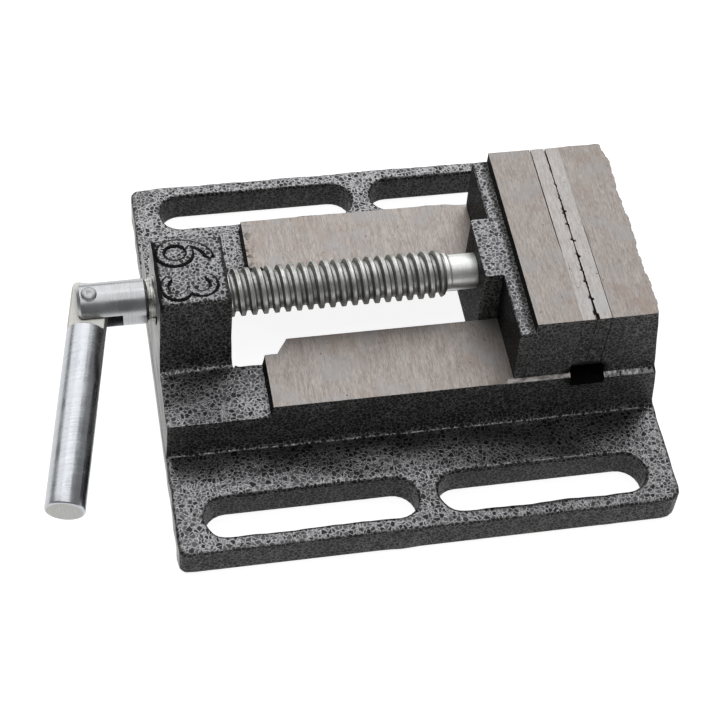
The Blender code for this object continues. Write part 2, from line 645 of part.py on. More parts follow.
def build_handle_pin(shop, finish):
    """Build the riveted pin through the fork, its round ends level with the cheeks."""
    reach, radius = HEAD_DIAMETER / 2, PIN_DIAMETER / 2
    dome = radius / 3
    side = [(0.0, reach), (radius * 0.6, reach - dome * 0.2), (radius, reach - dome)]
    profile = side + [(radius, dome - reach), (radius * 0.6, dome * 0.2 - reach), (0.0, -reach)]
    pin = shop.part("handle_pin", turned("pin", profile, "Z", 24, (PIN_PLACE, 0.0, 0.0)), finish)
    smooth(pin)
    return pin


def build_handle(shop, finish):
    """Build the handle: a round rod whose flat tang turns on the pin at the origin."""
    radius = HANDLE_DIAMETER / 2
    profile = [(0.0, TANG_TAIL), (radius, TANG_TAIL), (radius, HANDLE_CHAMFER - HANDLE_REACH),
               (radius - HANDLE_CHAMFER, -HANDLE_REACH), (0.0, -HANDLE_REACH)]
    handle = shop.part("handle_rod", turned("rod", profile, "Y", 32), finish)
    for side in (-1, 1):
        inner, outer = side * TANG_THICKNESS / 2, side * HANDLE_DIAMETER
        shop.join(handle, box("tang_flat", (-HANDLE_DIAMETER, -TANG_LENGTH, min(inner, outer)),
                              (HANDLE_DIAMETER, TANG_TAIL + CUT_PAST, max(inner, outer))))
    outline = fillet_outline([
        (radius + CUT_PAST, -HANDLE_REACH - CUT_PAST, 0.0), (radius + CUT_PAST, 0.0, 0.0),
        (radius, 0.0, 0.0), (radius, TANG_TAIL, TANG_CORNER_RADIUS),
        (-radius, TANG_TAIL, TANG_CORNER_RADIUS), (-radius, 0.0, 0.0),
        (-radius - CUT_PAST, 0.0, 0.0), (-radius - CUT_PAST, -HANDLE_REACH - CUT_PAST, 0.0)])
    shop.join(handle, extruded("tang_tail", [outline], -HANDLE_DIAMETER, HANDLE_DIAMETER),
              "INTERSECT")
    shop.join(handle, rod("pin_hole", PIN_DIAMETER / 2 + FIT, (0.0, 0.0, -HANDLE_DIAMETER),
                          (0.0, 0.0, HANDLE_DIAMETER), 24))
    smooth(handle)
    return handle


def build_keeper(shop, finish):
    """Build the keeper plate that runs under the ways and holds the jaw down."""
    outline = rounded_rectangle(TONGUE_MIDDLE - KEEPER_LENGTH / 2, TONGUE_MIDDLE + KEEPER_LENGTH / 2,
                                -KEEPER_WIDTH / 2, KEEPER_WIDTH / 2, KEEPER_CORNER_RADIUS)
    keeper = shop.part("keeper_plate", extruded("keeper", [outline], KEEPER_TOP - KEEPER_THICKNESS,
                                                KEEPER_TOP), finish)
    for x in keeper_screw_places():
        shop.join(keeper, rod("keeper_hole", KEEPER_SCREW_DIAMETER / 2 + FIT,
                              (x, 0.0, KEEPER_TOP - KEEPER_THICKNESS - CUT_PAST),
                              (x, 0.0, KEEPER_TOP + CUT_PAST), 24))
    return keeper


def build_keeper_screw(shop, name, x, finish):
    """Build a hexagon screw that holds the keeper plate from below."""
    seat = KEEPER_TOP - KEEPER_THICKNESS - WASHER_THICKNESS - 2 * FIT
    shank = rod(name, KEEPER_SCREW_DIAMETER / 2, (x, 0.0, seat - HEX_HEIGHT / 2),
                (x, 0.0, WAY_UNDERSIDE + KEEPER_SCREW_GRIP), 24)
    screw = shop.part(name, shank, finish)
    corner = HEX_ACROSS_FLATS / math.sqrt(3)
    shop.join(screw, rod("hexagon", corner, (x, 0.0, seat - HEX_HEIGHT), (x, 0.0, seat), 6), "UNION")
    return screw


def build_washer(shop, name, x, finish):
    """Build the split spring washer under a keeper screw's head."""
    top = KEEPER_TOP - KEEPER_THICKNESS - FIT
    washer = shop.part(name, rod(name, WASHER_DIAMETER / 2, (x, 0.0, top - WASHER_THICKNESS),
                                 (x, 0.0, top), 24), finish)
    shop.join(washer, rod("hole", KEEPER_SCREW_DIAMETER / 2 + FIT,
                          (x, 0.0, top - WASHER_THICKNESS - CUT_PAST), (x, 0.0, top + CUT_PAST), 24))
    shop.join(washer, box("split", (x - WASHER_SPLIT / 2, 0.0, top - WASHER_THICKNESS - CUT_PAST),
                          (x + WASHER_SPLIT / 2, WASHER_DIAMETER, top + CUT_PAST)))
    return washer


def build_retainer(shop, finish):
    """Build the pin that stands beside the groove and keeps the lead screw in the jaw."""
    x, y = retainer_place()
    return shop.part("retaining_pin", rod("retainer", RETAINER_DIAMETER / 2,
                                          (x, y, WAY_UNDERSIDE + FIT),
                                          (x, y, WAY_UNDERSIDE + FIT + RETAINER_LENGTH), 16), finish)


def main():
    """Build the whole vise."""
    clear_scene()
    paint = new_material("hammertone_iron", (0.085, 0.087, 0.092), 0.3, 0.45)
    ground = new_material("ground_steel", (0.56, 0.54, 0.52), 1.0, 0.38)
    zinc = new_material("zinc_plated_steel", (0.60, 0.61, 0.62), 1.0, 0.30)
    bright = new_material("bright_zinc_handle", (0.68, 0.69, 0.71), 1.0, 0.24)
    black = new_material("black_steel", (0.06, 0.06, 0.06), 0.8, 0.45)

    vise = Workshop(new_collection("drill_press_vise"), new_collection("cutters"))
    build_base(vise, paint)
    fixed_face = JAW_LINE + FIT / 2
    build_jaw_plate(vise, "fixed_jaw_plate", FIXED_PLATE_BACK, -1, ground)
    for number, place in enumerate(plate_screw_places(), 1):
        build_plate_screw(vise, f"fixed_plate_screw_{number}", fixed_face, -1, place, zinc)

    carriage = vise.within("jaw_carriage", (0.0, 0.0, 0.0))
    moving_face = JAW_LINE - FIT / 2
    build_moving_jaw(carriage, paint)
    build_jaw_plate(carriage, "moving_jaw_plate", MOVING_PLATE_BACK, 1, ground)
    for number, place in enumerate(plate_screw_places(), 1):
        build_plate_screw(carriage, f"moving_plate_screw_{number}", moving_face, 1, place, zinc)
    build_keeper(carriage, black)
    for number, x in enumerate(keeper_screw_places(), 1):
        build_keeper_screw(carriage, f"keeper_screw_{number}", x, zinc)
        build_washer(carriage, f"keeper_washer_{number}", x, zinc)
    build_retainer(carriage, black)

    spindle = carriage.within("screw_axis", (0.0, 0.0, SCREW_HEIGHT), (SCREW_TURN, 0.0, 0.0))
    build_lead_screw(spindle, zinc)
    build_handle_pin(spindle, zinc)
    pivot = spindle.within("handle_pivot", (PIN_PLACE, 0.0, 0.0), (0.0, 0.0, HANDLE_SWING))
    build_handle(pivot, bright)


main()
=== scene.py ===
"""Looks of a drill press vise with a 63.5 mm jaw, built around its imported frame.

Axes and lengths are the part's own: X runs along the lead screw from the handle to the
fixed jaw, Y across the ways, Z up, with the origin under the middle of the base. All
lengths are in metres.
"""

import json
import logging
import math
from dataclasses import dataclass
from enum import Enum
from typing import Callable, Sequence

import bmesh
import bpy
import numpy as np
from bmesh.types import BMEdge, BMesh, BMFace
from bpy.types import Material, Mesh, Node, NodeSocket, NodeTree, Object
from mathutils import Matrix, Vector

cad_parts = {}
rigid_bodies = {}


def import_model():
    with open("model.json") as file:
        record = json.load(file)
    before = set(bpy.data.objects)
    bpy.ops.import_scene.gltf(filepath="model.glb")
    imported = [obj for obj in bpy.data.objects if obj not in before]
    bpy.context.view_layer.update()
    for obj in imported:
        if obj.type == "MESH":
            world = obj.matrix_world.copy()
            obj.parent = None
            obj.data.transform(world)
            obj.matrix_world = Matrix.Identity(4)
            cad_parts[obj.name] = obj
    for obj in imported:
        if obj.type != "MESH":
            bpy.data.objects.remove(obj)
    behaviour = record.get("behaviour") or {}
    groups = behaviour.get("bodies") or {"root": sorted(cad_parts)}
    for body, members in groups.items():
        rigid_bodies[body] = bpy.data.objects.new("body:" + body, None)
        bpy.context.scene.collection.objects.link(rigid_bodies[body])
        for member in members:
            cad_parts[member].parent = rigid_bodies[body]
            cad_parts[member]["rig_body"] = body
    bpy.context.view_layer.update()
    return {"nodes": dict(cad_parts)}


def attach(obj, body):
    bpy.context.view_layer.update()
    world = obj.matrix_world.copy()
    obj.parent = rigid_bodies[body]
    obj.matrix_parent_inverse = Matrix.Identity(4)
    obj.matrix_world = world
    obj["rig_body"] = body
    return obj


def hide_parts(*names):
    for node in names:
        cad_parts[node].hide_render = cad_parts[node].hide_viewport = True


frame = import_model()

LOG = logging.getLogger("vise")
Colour = tuple[float, float, float]

WAY_HEIGHT = 0.0285
SHOULDER_HEIGHT = 0.0275
JAW_HEIGHT = 0.0517
BLOCK_HEIGHT = 0.0494
SCREW_HEIGHT = 0.0379
HALF_JAW = 0.03175
MOVING_SEAT = 0.0429
MOVING_GRIP = 0.0472
FIXED_GRIP = 0.0475
FIXED_SEAT = 0.0518
FLANGE_HEIGHT = 0.0102
FLANGE_CORNER = 0.0045
FOOT_LINE = 0.0346
HALF_LENGTH = 0.0710
HALF_WIDTH = 0.06625
PITCH = 0.003175
PIVOT_X = -0.0879
SCREW_TURN = math.radians(7.0)
SCREW_FRAME = (Matrix.Translation((0.0, 0.0, SCREW_HEIGHT))
               @ Matrix.Rotation(SCREW_TURN, 4, "X"))
X_AXIS, Y_AXIS, Z_AXIS = Vector((1, 0, 0)), Vector((0, 1, 0)), Vector((0, 0, 1))


class Body(Enum):
    """The moving bodies of the frame."""

    BASE = "base"
    JAW = "sliding_jaw"
    SPINDLE = "spindle"
    HANDLE = "handle"


class Slot(Enum):
    """The record's material slots."""

    PAINT = "hammertone_iron"
    GROUND = "ground_steel"
    ZINC = "zinc_steel"
    BLACK = "black_steel"
    BRIGHT = "bright_zinc"


# Material helpers


def feed(node: Node, inputs: dict) -> Node:
    """Link each field to the named or numbered input, set each plain value, return the node."""
    for key, value in inputs.items():
        socket = node.inputs[key]
        if isinstance(value, Field):
            node.id_data.links.new(value.socket, socket)
        else:
            socket.default_value = (*value, 1.0) if socket.type == "RGBA" else value
    return node


def new_node(tree: NodeTree, kind: str, inputs: dict | None = None, **settings: object) -> Node:
    """Add a shader node to a tree.

    Args:
        tree: the node tree.
        kind: Blender's name of the node type.
        inputs: a field or a value for each named or numbered input.
        settings: attributes of the node itself.

    Returns:
        The new node.
    """
    node = tree.nodes.new(kind)
    for name, value in settings.items():
        setattr(node, name, value)
    return feed(node, inputs or {})


class Field:
    """What varies over a surface: the output of a shader node. Sums and products add nodes."""

    def __init__(self, socket: NodeSocket) -> None:
        """Keep the node's output."""
        self.socket = socket

    def into(self, kind: str, inputs: dict, output: int | str = 0,
             **settings: object) -> "Field":
        """Return an output of a new node in the same tree."""
        return Field(new_node(self.socket.id_data, kind, inputs, **settings).outputs[output])

    def maths(self, operation: str, *others: "Field | float") -> "Field":
        """Return the result of a Math node on this number and the others."""
        return self.into("ShaderNodeMath", dict(enumerate((self, *others))), operation=operation)

    def __add__(self, other: "Field | float") -> "Field":
        """Return the sum."""
        return self.maths("ADD", other)

    def __sub__(self, other: "Field | float") -> "Field":
        """Return the difference."""
        return self.maths("SUBTRACT", other)

    def __mul__(self, other: "Field | float") -> "Field":
        """Return the product."""
        return self.maths("MULTIPLY", other)

    def larger(self, other: "Field | float") -> "Field":
        """Return the larger of the two numbers."""
        return self.maths("MAXIMUM", other)

    def ramp(self, low: "Field | float", high: "Field | float", start: float = 0.0,
             end: float = 1.0) -> "Field":
        """Return the number carried smoothly from low..high to start..end, held past both."""
        limits = dict(enumerate((self, low, high, start, end)))
        return self.into("ShaderNodeMapRange", limits, interpolation_type="SMOOTHSTEP")

    def blend(self, first: "Field | Colour", second: "Field | Colour") -> "Field":
        """Return the first colour where this number is 0 and the second where it is 1."""
        return self.into("ShaderNodeMix", {0: self, 6: first, 7: second}, 2, data_type="RGBA")

    def noise(self, scale: float, detail: float = 2.0, roughness: float = 0.5,
              output: str = "Fac") -> "Field":
        """Return fractal noise at this place."""
        return self.into("ShaderNodeTexNoise", {
            "Vector": self, "Scale": scale, "Detail": detail, "Roughness": roughness}, output)

    def mapped(self, scale: Sequence[float] = (1.0, 1.0, 1.0),
               turn: Sequence[float] = (0.0, 0.0, 0.0),
               place: Sequence[float] = (0.0, 0.0, 0.0)) -> "Field":
        """Return this place scaled, turned and moved."""
        return self.into("ShaderNodeMapping", {
            "Vector": self, "Scale": scale, "Rotation": turn, "Location": place})

    def swung(self, step: Sequence[float], reach: "Field | Colour", base: "Field") -> "Field":
        """Return the base moved by this vector plus a step, times a reach."""
        moved = self.into("ShaderNodeVectorMath", {0: self, 1: step}, operation="ADD")
        return moved.into("ShaderNodeVectorMath", {0: moved, 1: reach, 2: base},
                          operation="MULTIPLY_ADD")

    def parts(self) -> list["Field"]:
        """Return the three numbers of this vector."""
        split = new_node(self.socket.id_data, "ShaderNodeSeparateXYZ", {0: self})
        return [Field(output) for output in split.outputs]

    def facing(self) -> list["Field"]:
        """Return the three numbers of the surface's normal."""
        return self.into("ShaderNodeNewGeometry", {}, "Normal").parts()

    def bump(self, distance: float, strength: float) -> "Field":
        """Return the normal of a surface with this height, in parts of a distance."""
        return self.into("ShaderNodeBump", {"Height": self, "Distance": distance,
                                            "Strength": strength})


def effect(fill: Callable[..., dict[str, Field]], point: Field,
           **values: float) -> dict[str, Field]:
    """Put a shared shader group in a material, and build it the first time.

    Args:
        fill: makes the group's nodes from its inputs, and gives the group its name.
        point: the place on the surface.
        values: this material's value for each of the group's other inputs.

    Returns:
        Each output by its name.
    """
    tree = bpy.data.node_groups.get(fill.__name__)
    if not tree:
        tree = bpy.data.node_groups.new(fill.__name__, "ShaderNodeTree")
        for label in ("point", *values):
            kind = "NodeSocketVector" if label == "point" else "NodeSocketFloat"
            tree.interface.new_socket(label, in_out="INPUT", socket_type=kind)
        enter, leave = (tree.nodes.new(kind) for kind in ("NodeGroupInput", "NodeGroupOutput"))
        made = fill(*(Field(enter.outputs[label]) for label in ("point", *values)))
        for label in made:
            tree.interface.new_socket(label, in_out="OUTPUT", socket_type="NodeSocketFloat")
        feed(leave, made)
    node = new_node(point.socket.id_data, "ShaderNodeGroup", {}, node_tree=tree)
    feed(node, {"point": point, **values})
    return {output.name: Field(output) for output in node.outputs}


def hammertone(point: Field, density: Field, web: Field, warp: Field) -> dict[str, Field]:
    """Fill the group for hammertone paint: thin light webs round soft dark dimples.

    The points are scattered cells, warped by noise. A dimple fills the inside of a cell, where
    the distance to its border is more than a width that the cell's own random number and a
    slow noise set, and its floor is darker in some cells than in others. The web along the
    borders is broken by a fine grain. Net runs from 0 in the darkest dimple to 1 on the web.
    Relief is the same on a slow swell of the casting.
    """
    warped = point.noise(900.0, 4.0, 0.68, "Color").swung((-0.5, -0.5, -0.5), warp, point)
    place = {"Vector": warped, "Scale": density}
    size, tone, _ = warped.into("ShaderNodeTexVoronoi", place, "Color").parts()
    border = warped.into("ShaderNodeTexVoronoi", place, "Distance", feature="DISTANCE_TO_EDGE")
    width = size * 0.10 + point.noise(120.0) * -0.12 + web
    inside = border.ramp(width - 0.05, width + 0.08)
    floor = tone.ramp(0.10, 0.95, 0.02, 0.20)
    bright = point.noise(2600.0, 3.0, 0.65).ramp(0.34, 0.66, 0.30, 1.0)
    net = inside * (floor - bright) + bright
    return {"Net": net, "Relief": point.noise(60.0) * 1.6 + net}


def grinding(point: Field) -> dict[str, Field]:
    """Fill the group for ground metal: short fine lines along the point's own Y.

    Each line set is noise stretched along Y by the ratio of two Mapping scales. Lines adds
    three widths of them, Specks are small pits, Marks is a few long thin scratches, and Stain
    and Chill are two slow clouds.
    """
    fine = point.mapped((5200.0, 620.0, 5200.0)).noise(1.0, 3.0, 0.65)
    middle = point.mapped((1700.0, 190.0, 1700.0)).noise(1.0)
    broad = point.mapped((330.0, 70.0, 330.0)).noise(1.0)
    bent = point.noise(40.0, output="Color").swung((0.0,) * 3, (0.004,) * 3, point)
    veins = bent.mapped((160.0, 28.0, 160.0), (0.0, 0.0, 0.35)).noise(1.0, 0.0)
    line = (veins - 0.5).maths("ABSOLUTE").ramp(0.0, 0.0030, 1.0, 0.0)
    return {"Lines": broad * 0.08 + (middle * 0.32 + fine * 0.60),
            "Marks": line * point.noise(75.0, 1.0).ramp(0.62, 0.68),
            "Specks": point.noise(850.0, 1.0).ramp(0.735, 0.79),
            "Stain": point.noise(85.0, 4.0, 0.62),
            "Chill": point.mapped(place=(0.3, 0.1, 0.0)).noise(110.0, 3.0, 0.6)}


def thread_marks(point: Field, pitch: Field) -> dict[str, Field]:
    """Fill the group for a turned thread about the X axis: tool marks along the helix.

    The phase is x over the pitch plus the angle over a whole turn. Noise is read on the circle
    (cos, sin) of the phase, so the marks join where the angle starts again. Height is the
    distance from the axis.
    """
    x, y, z = point.parts()
    phase = x.maths("DIVIDE", pitch) * (2.0 * math.pi) + y.maths("ARCTAN2", z)
    circle = x.into("ShaderNodeCombineXYZ", {
        0: phase.maths("COSINE"), 1: phase.maths("SINE"), 2: x * 30.0})
    return {"Marks": circle.noise(3.6, 4.0, 0.72), "Height": (y * y + z * z).maths("SQRT")}


def turned(point: Field) -> dict[str, Field]:
    """Fill the group for turned and plated bars: bands along X, small pits and dull clouds."""
    return {"Bands": point.mapped((5200.0, 120.0, 120.0)).noise(1.0, 3.0, 0.6),
            "Pits": point.noise(1500.0, 2.0, 0.6).ramp(0.56, 0.70),
            "Clouds": point.noise(160.0, 3.0, 0.55)}


# Finishes


@dataclass(frozen=True)
class Finish:
    """What one kind of surface looks like."""

    name: str

    def sockets(self, point: Field) -> dict:
        """Return the Principled shader's inputs, given the place in Object coordinates."""
        raise NotImplementedError

    def material(self) -> Material:
        """Return the finish's material."""
        made = bpy.data.materials.new(self.name)
        made.use_nodes = True
        point = Field(new_node(made.node_tree, "ShaderNodeTexCoord").outputs["Object"])
        feed(made.node_tree.nodes["Principled BSDF"], self.sockets(point))
        return made


@dataclass(frozen=True)
class HammertonePaint(Finish):
    """Dark metallic paint that dried in a net round small dimples.

    Where a face looks up, the net is painted bright and metallic as painted light from above,
    and on walls the paint is a plain dark one with matt dimples, as painted shade. The net is
    paler towards the back, as a painted sheen. It is painted nearly black, as painted shade,
    along the nut block's sawn end and its back and right edges, and round the relief groove's
    ends.
    """

    name: str = "hammertone_paint"
    hollow: Colour = (0.013, 0.013, 0.014)
    crest: Colour = (0.335, 0.335, 0.343)
    # colour of the painted sheen on the crests towards the back
    back_sheen: Colour = (0.68, 0.68, 0.69)
    pit: Colour = (0.010, 0.010, 0.010)
    upright: Colour = (0.27, 0.265, 0.26)
    # near black of the painted shade
    shade_black: Colour = (0.006, 0.006, 0.006)
    metal: float = 1.0
    gloss: float = 0.24
    back_sheen_share: float = 0.25

    def sockets(self, point: Field) -> dict:
        """Return the paint's shader inputs."""
        pattern = effect(hammertone, point, density=780.0, web=0.11, warp=0.0009)
        net = pattern["Net"]
        # painted light: up-facing faces get the bright net, walls a darker copy as painted shade
        painted_top_light = point.facing()[2].ramp(0.80, 0.975)
        # painted sheen: the net's crests are paler towards the back
        back_sheen = point.parts()[1].ramp(-0.020, 0.055, 0.0, self.back_sheen_share)
        crest = painted_top_light.blend(self.upright, back_sheen.blend(self.crest, self.back_sheen))
        peaks = net.maths("POWER", painted_top_light.ramp(0.0, 1.0, 2.2, 1.0))
        colour = peaks.blend(painted_top_light.blend(self.pit, self.hollow), crest)
        # painted shade: near black at the block's end, back and right edges and round the groove
        painted_shade = self.painted_shade(point)
        shining = painted_top_light * net.ramp(0.0, 1.0, 0.85, 0.95) * (painted_shade * -1.0 + 1.0)
        low, high = painted_top_light.ramp(0.0, 1.0, 0.65, 0.34), painted_top_light.ramp(0.0, 1.0, 0.30, 0.22)
        return {"Base Color": painted_shade.blend(colour, self.shade_black),
                "Metallic": shining if self.metal else 0.0,
                "Roughness": (net * (high - low) + low).larger(painted_shade * 0.95),
                "Specular IOR Level": self.gloss,
                "Normal": pattern["Relief"].bump(0.00003, 0.8)}

    @staticmethod
    def painted_shade(point: Field) -> Field:
        """Return how black the paint is painted as shade at a point, from 0 to 1.

        Each place is a product of ramps across it, ragged by noise. The groove's is an ellipse
        about its middle, (dx / 7 mm) squared plus (dz / 4.4 mm) squared under one.
        """
        x, y, z = point.parts()
        noise = point.noise(800.0, 3.0, 0.65)
        ragged = noise * 0.0024 + (x - 0.0012)
        end = ragged.ramp(-0.0679, -0.0688) * z.ramp(0.0466, 0.0480)
        back = (noise * 0.0010 + y).ramp(0.0113, 0.0119)
        right = ragged.ramp(-0.0515, -0.0508, 0.0, 0.8)
        block = z.ramp(0.0476, 0.0486) * x.ramp(-0.0480, -0.0490) * back.larger(right)
        off_x, off_z = (x - 0.0477) * (1.0 / 0.0070), (z - 0.0282) * (1.0 / 0.0044)
        groove = (noise * 0.8 + (off_x * off_x + off_z * off_z)).ramp(1.75, 1.15)
        return groove.larger(end.larger(block))


@dataclass(frozen=True)
class SawnCasting(Finish):
    """A casting's end, cut along Y and thinly painted, with ragged bright and dark streaks."""

    name: str = "sawn_casting"
    dark: Colour = (0.062, 0.060, 0.058)
    middle: Colour = (0.157, 0.150, 0.147)
    bright: Colour = (0.35, 0.34, 0.335)
    grain: Colour = (300.0, 42.0, 950.0)

    def sockets(self, point: Field) -> dict:
        """Return the sawn end's shader inputs."""
        streaks = point.mapped(self.grain).noise(1.0, 4.0, 0.62)
        colour = streaks.ramp(0.52, 0.68).blend(self.middle, self.bright)
        return {"Base Color": streaks.ramp(0.475, 0.40).blend(colour, self.dark),
                "Metallic": 0.8,
                "Roughness": point.noise(110.0, 3.0).ramp(0.3, 0.7, 0.34, 0.46),
                "Normal": streaks.bump(0.00022, 0.7)}


@dataclass(frozen=True)
class GroundMetal(Finish):
    """Cast iron or steel ground bright, with its grinding lines along Y."""

    name: str = "ground_iron"
    low: Colour = (0.250, 0.219, 0.200)
    high: Colour = (0.400, 0.364, 0.340)
    stain: Colour = (0.285, 0.225, 0.190)
    chill: Colour = (0.315, 0.315, 0.318)
    dirt: Colour = (0.055, 0.047, 0.043)
    shade: Colour = (0.05, 0.045, 0.042)
    soiled_to: float = -0.0372
    # how far the painted shade darkens ground tops above 35 mm, the jaws' tops
    top_shade: float = 0.10

    def sockets(self, point: Field) -> dict:
        """Return the ground metal's shader inputs.

        Dark specks lie thick at the rear way's handle end, and thin out to soiled_to along X.
        """
        x, y, z = point.parts()
        made = effect(grinding, point)
        colour = made["Lines"].ramp(0.36, 0.64).blend(self.low, self.high)
        colour = made["Stain"].ramp(0.50, 0.72, 0.0, 0.6).blend(colour, self.stain)
        colour = made["Chill"].ramp(0.50, 0.70, 0.0, 0.6).blend(colour, self.chill)
        soiled = (x.ramp(-0.0417, self.soiled_to, 0.9, 0.0) * y.ramp(0.004, 0.012)
                  * point.noise(620.0, 3.0, 0.6).ramp(0.47, 0.62))
        wear = (made["Marks"] * 0.7).larger(made["Specks"] * 0.75).larger(soiled)
        colour = wear.blend(colour, self.dirt)
        # painted shade: ground tops above 35 mm are darkened towards the shade colour
        if self.top_shade:
            colour = z.ramp(0.035, 0.045, 0.0, self.top_shade).blend(colour, self.shade)
        return {"Base Color": colour, "Metallic": 0.75,
                "Roughness": made["Lines"].ramp(0.35, 0.65, 0.48, 0.40),
                "Normal": made["Lines"].bump(0.000015, 0.5)}


@dataclass(frozen=True)
class TurnedThread(Finish):
    """A rolled and plated thread: bright tool marks along the helix.

    Dark oil and painted shade lie in the root; painted shade darkens the flanks that look
    towards the handle, and the low side.
    """

    name: str = "zinc_thread"
    dark: Colour = (0.24, 0.242, 0.23)
    light: Colour = (0.78, 0.785, 0.765)
    oil_and_shade: Colour = (0.075, 0.075, 0.069)
    root: float = 0.00535
    crest: float = 0.00655

    def sockets(self, point: Field) -> dict:
        """Return the thread's shader inputs."""
        centred = point.mapped(place=(0.0, 0.0, -SCREW_HEIGHT))
        made = effect(thread_marks, centred, pitch=PITCH)
        tone = point.noise(240.0, 3.0, 0.6) * 0.3 + made["Marks"] * 0.7
        # dark oil and painted shade in the thread's root
        deep = made["Height"].ramp(self.root, self.crest, 0.30, 0.0)
        # painted shade on the flanks that look towards the handle
        flank = point.facing()[0].ramp(-0.20, -0.62, 0.0, 0.62)
        # painted shade on the low side
        low = centred.parts()[2].ramp(0.0004, -0.0050, 0.0, 0.95)
        colour = tone.ramp(0.41, 0.60).blend(self.dark, self.light)
        return {"Base Color": deep.larger(flank.larger(low)).blend(colour, self.oil_and_shade),
                "Metallic": 0.75, "Specular Tint": (0.30, 0.30, 0.29),
                "Roughness": tone.ramp(0.40, 0.60, 0.48, 0.36),
                "Normal": made["Marks"].bump(0.00005, 0.6)}


@dataclass(frozen=True)
class PlatedBar(Finish):
    """A turned steel bar with a zinc plating."""

    dark: Colour
    light: Colour
    roughness: float
    along: Colour = (0.0, 0.0, 0.0)
    pitted: float = 0.15

    def sockets(self, point: Field) -> dict:
        """Return the plating's shader inputs."""
        made = effect(turned, point.mapped(turn=self.along))
        colour = (made["Bands"] * 0.5 + made["Clouds"] * 0.5).ramp(0.36, 0.64).blend(
            self.dark, self.light)
        deep = tuple(0.35 * part for part in self.dark)
        return {"Base Color": (made["Pits"] * self.pitted).blend(colour, deep),
                "Metallic": 1.0,
                "Roughness": made["Clouds"].ramp(0.35, 0.7, self.roughness - 0.04,
                                                 self.roughness + 0.08),
                "Normal": made["Bands"].bump(0.00001, 0.5)}


@dataclass(frozen=True)
class BlackSteel(Finish):
    """Steel blackened by heat and oiling."""

    name: str = "black_oxide"
    colour: Colour = (0.030, 0.030, 0.032)
    rubbed: Colour = (0.14, 0.135, 0.13)

    def sockets(self, point: Field) -> dict:
        """Return the blackened steel's shader inputs."""
        made = effect(turned, point)
        return {"Base Color": made["Clouds"].ramp(0.52, 0.75).blend(self.colour, self.rubbed),
                "Metallic": 0.8, "Roughness": made["Clouds"].ramp(0.3, 0.7, 0.38, 0.52),
                "Normal": made["Pits"].bump(-0.00003, 0.5)}


@dataclass(frozen=True)
class PaleFloor(Finish):
    """A pale floor that keeps shadows, and is white to the camera and in mirrors elsewhere."""

    name: str = "pale_floor"
    glow: float = 0.90

    def sockets(self, point: Field) -> dict:
        """Return the floor's shader inputs."""
        return {"Base Color": point.noise(60.0).ramp(0.3, 0.7).blend((0.37,) * 3, (0.39,) * 3),
                "Roughness": 0.9, "Specular IOR Level": 0.0}

    def material(self) -> Material:
        """Return the floor's material, with a glow for the rays that look at it."""
        made = super().material()
        nodes = made.node_tree.nodes
        plain = Field(nodes["Principled BSDF"].outputs[0])
        path = new_node(made.node_tree, "ShaderNodeLightPath").outputs
        camera, mirror, glass = (Field(path[f"Is {kind} Ray"])
                                 for kind in ("Camera", "Glossy", "Transmission"))
        glow = plain.into("ShaderNodeEmission", {"Color": (1.0, 1.0, 1.0), "Strength": self.glow})
        shown = plain.into("ShaderNodeAddShader", {0: plain, 1: glow})
        feed(nodes["Material Output"], {"Surface": plain.into("ShaderNodeMixShader", {
            0: camera.larger(mirror.larger(glass)), 1: plain, 2: shown})})
        return made


def grey(level: float) -> Colour:
    """Return a neutral colour."""
    return (level, level, level)


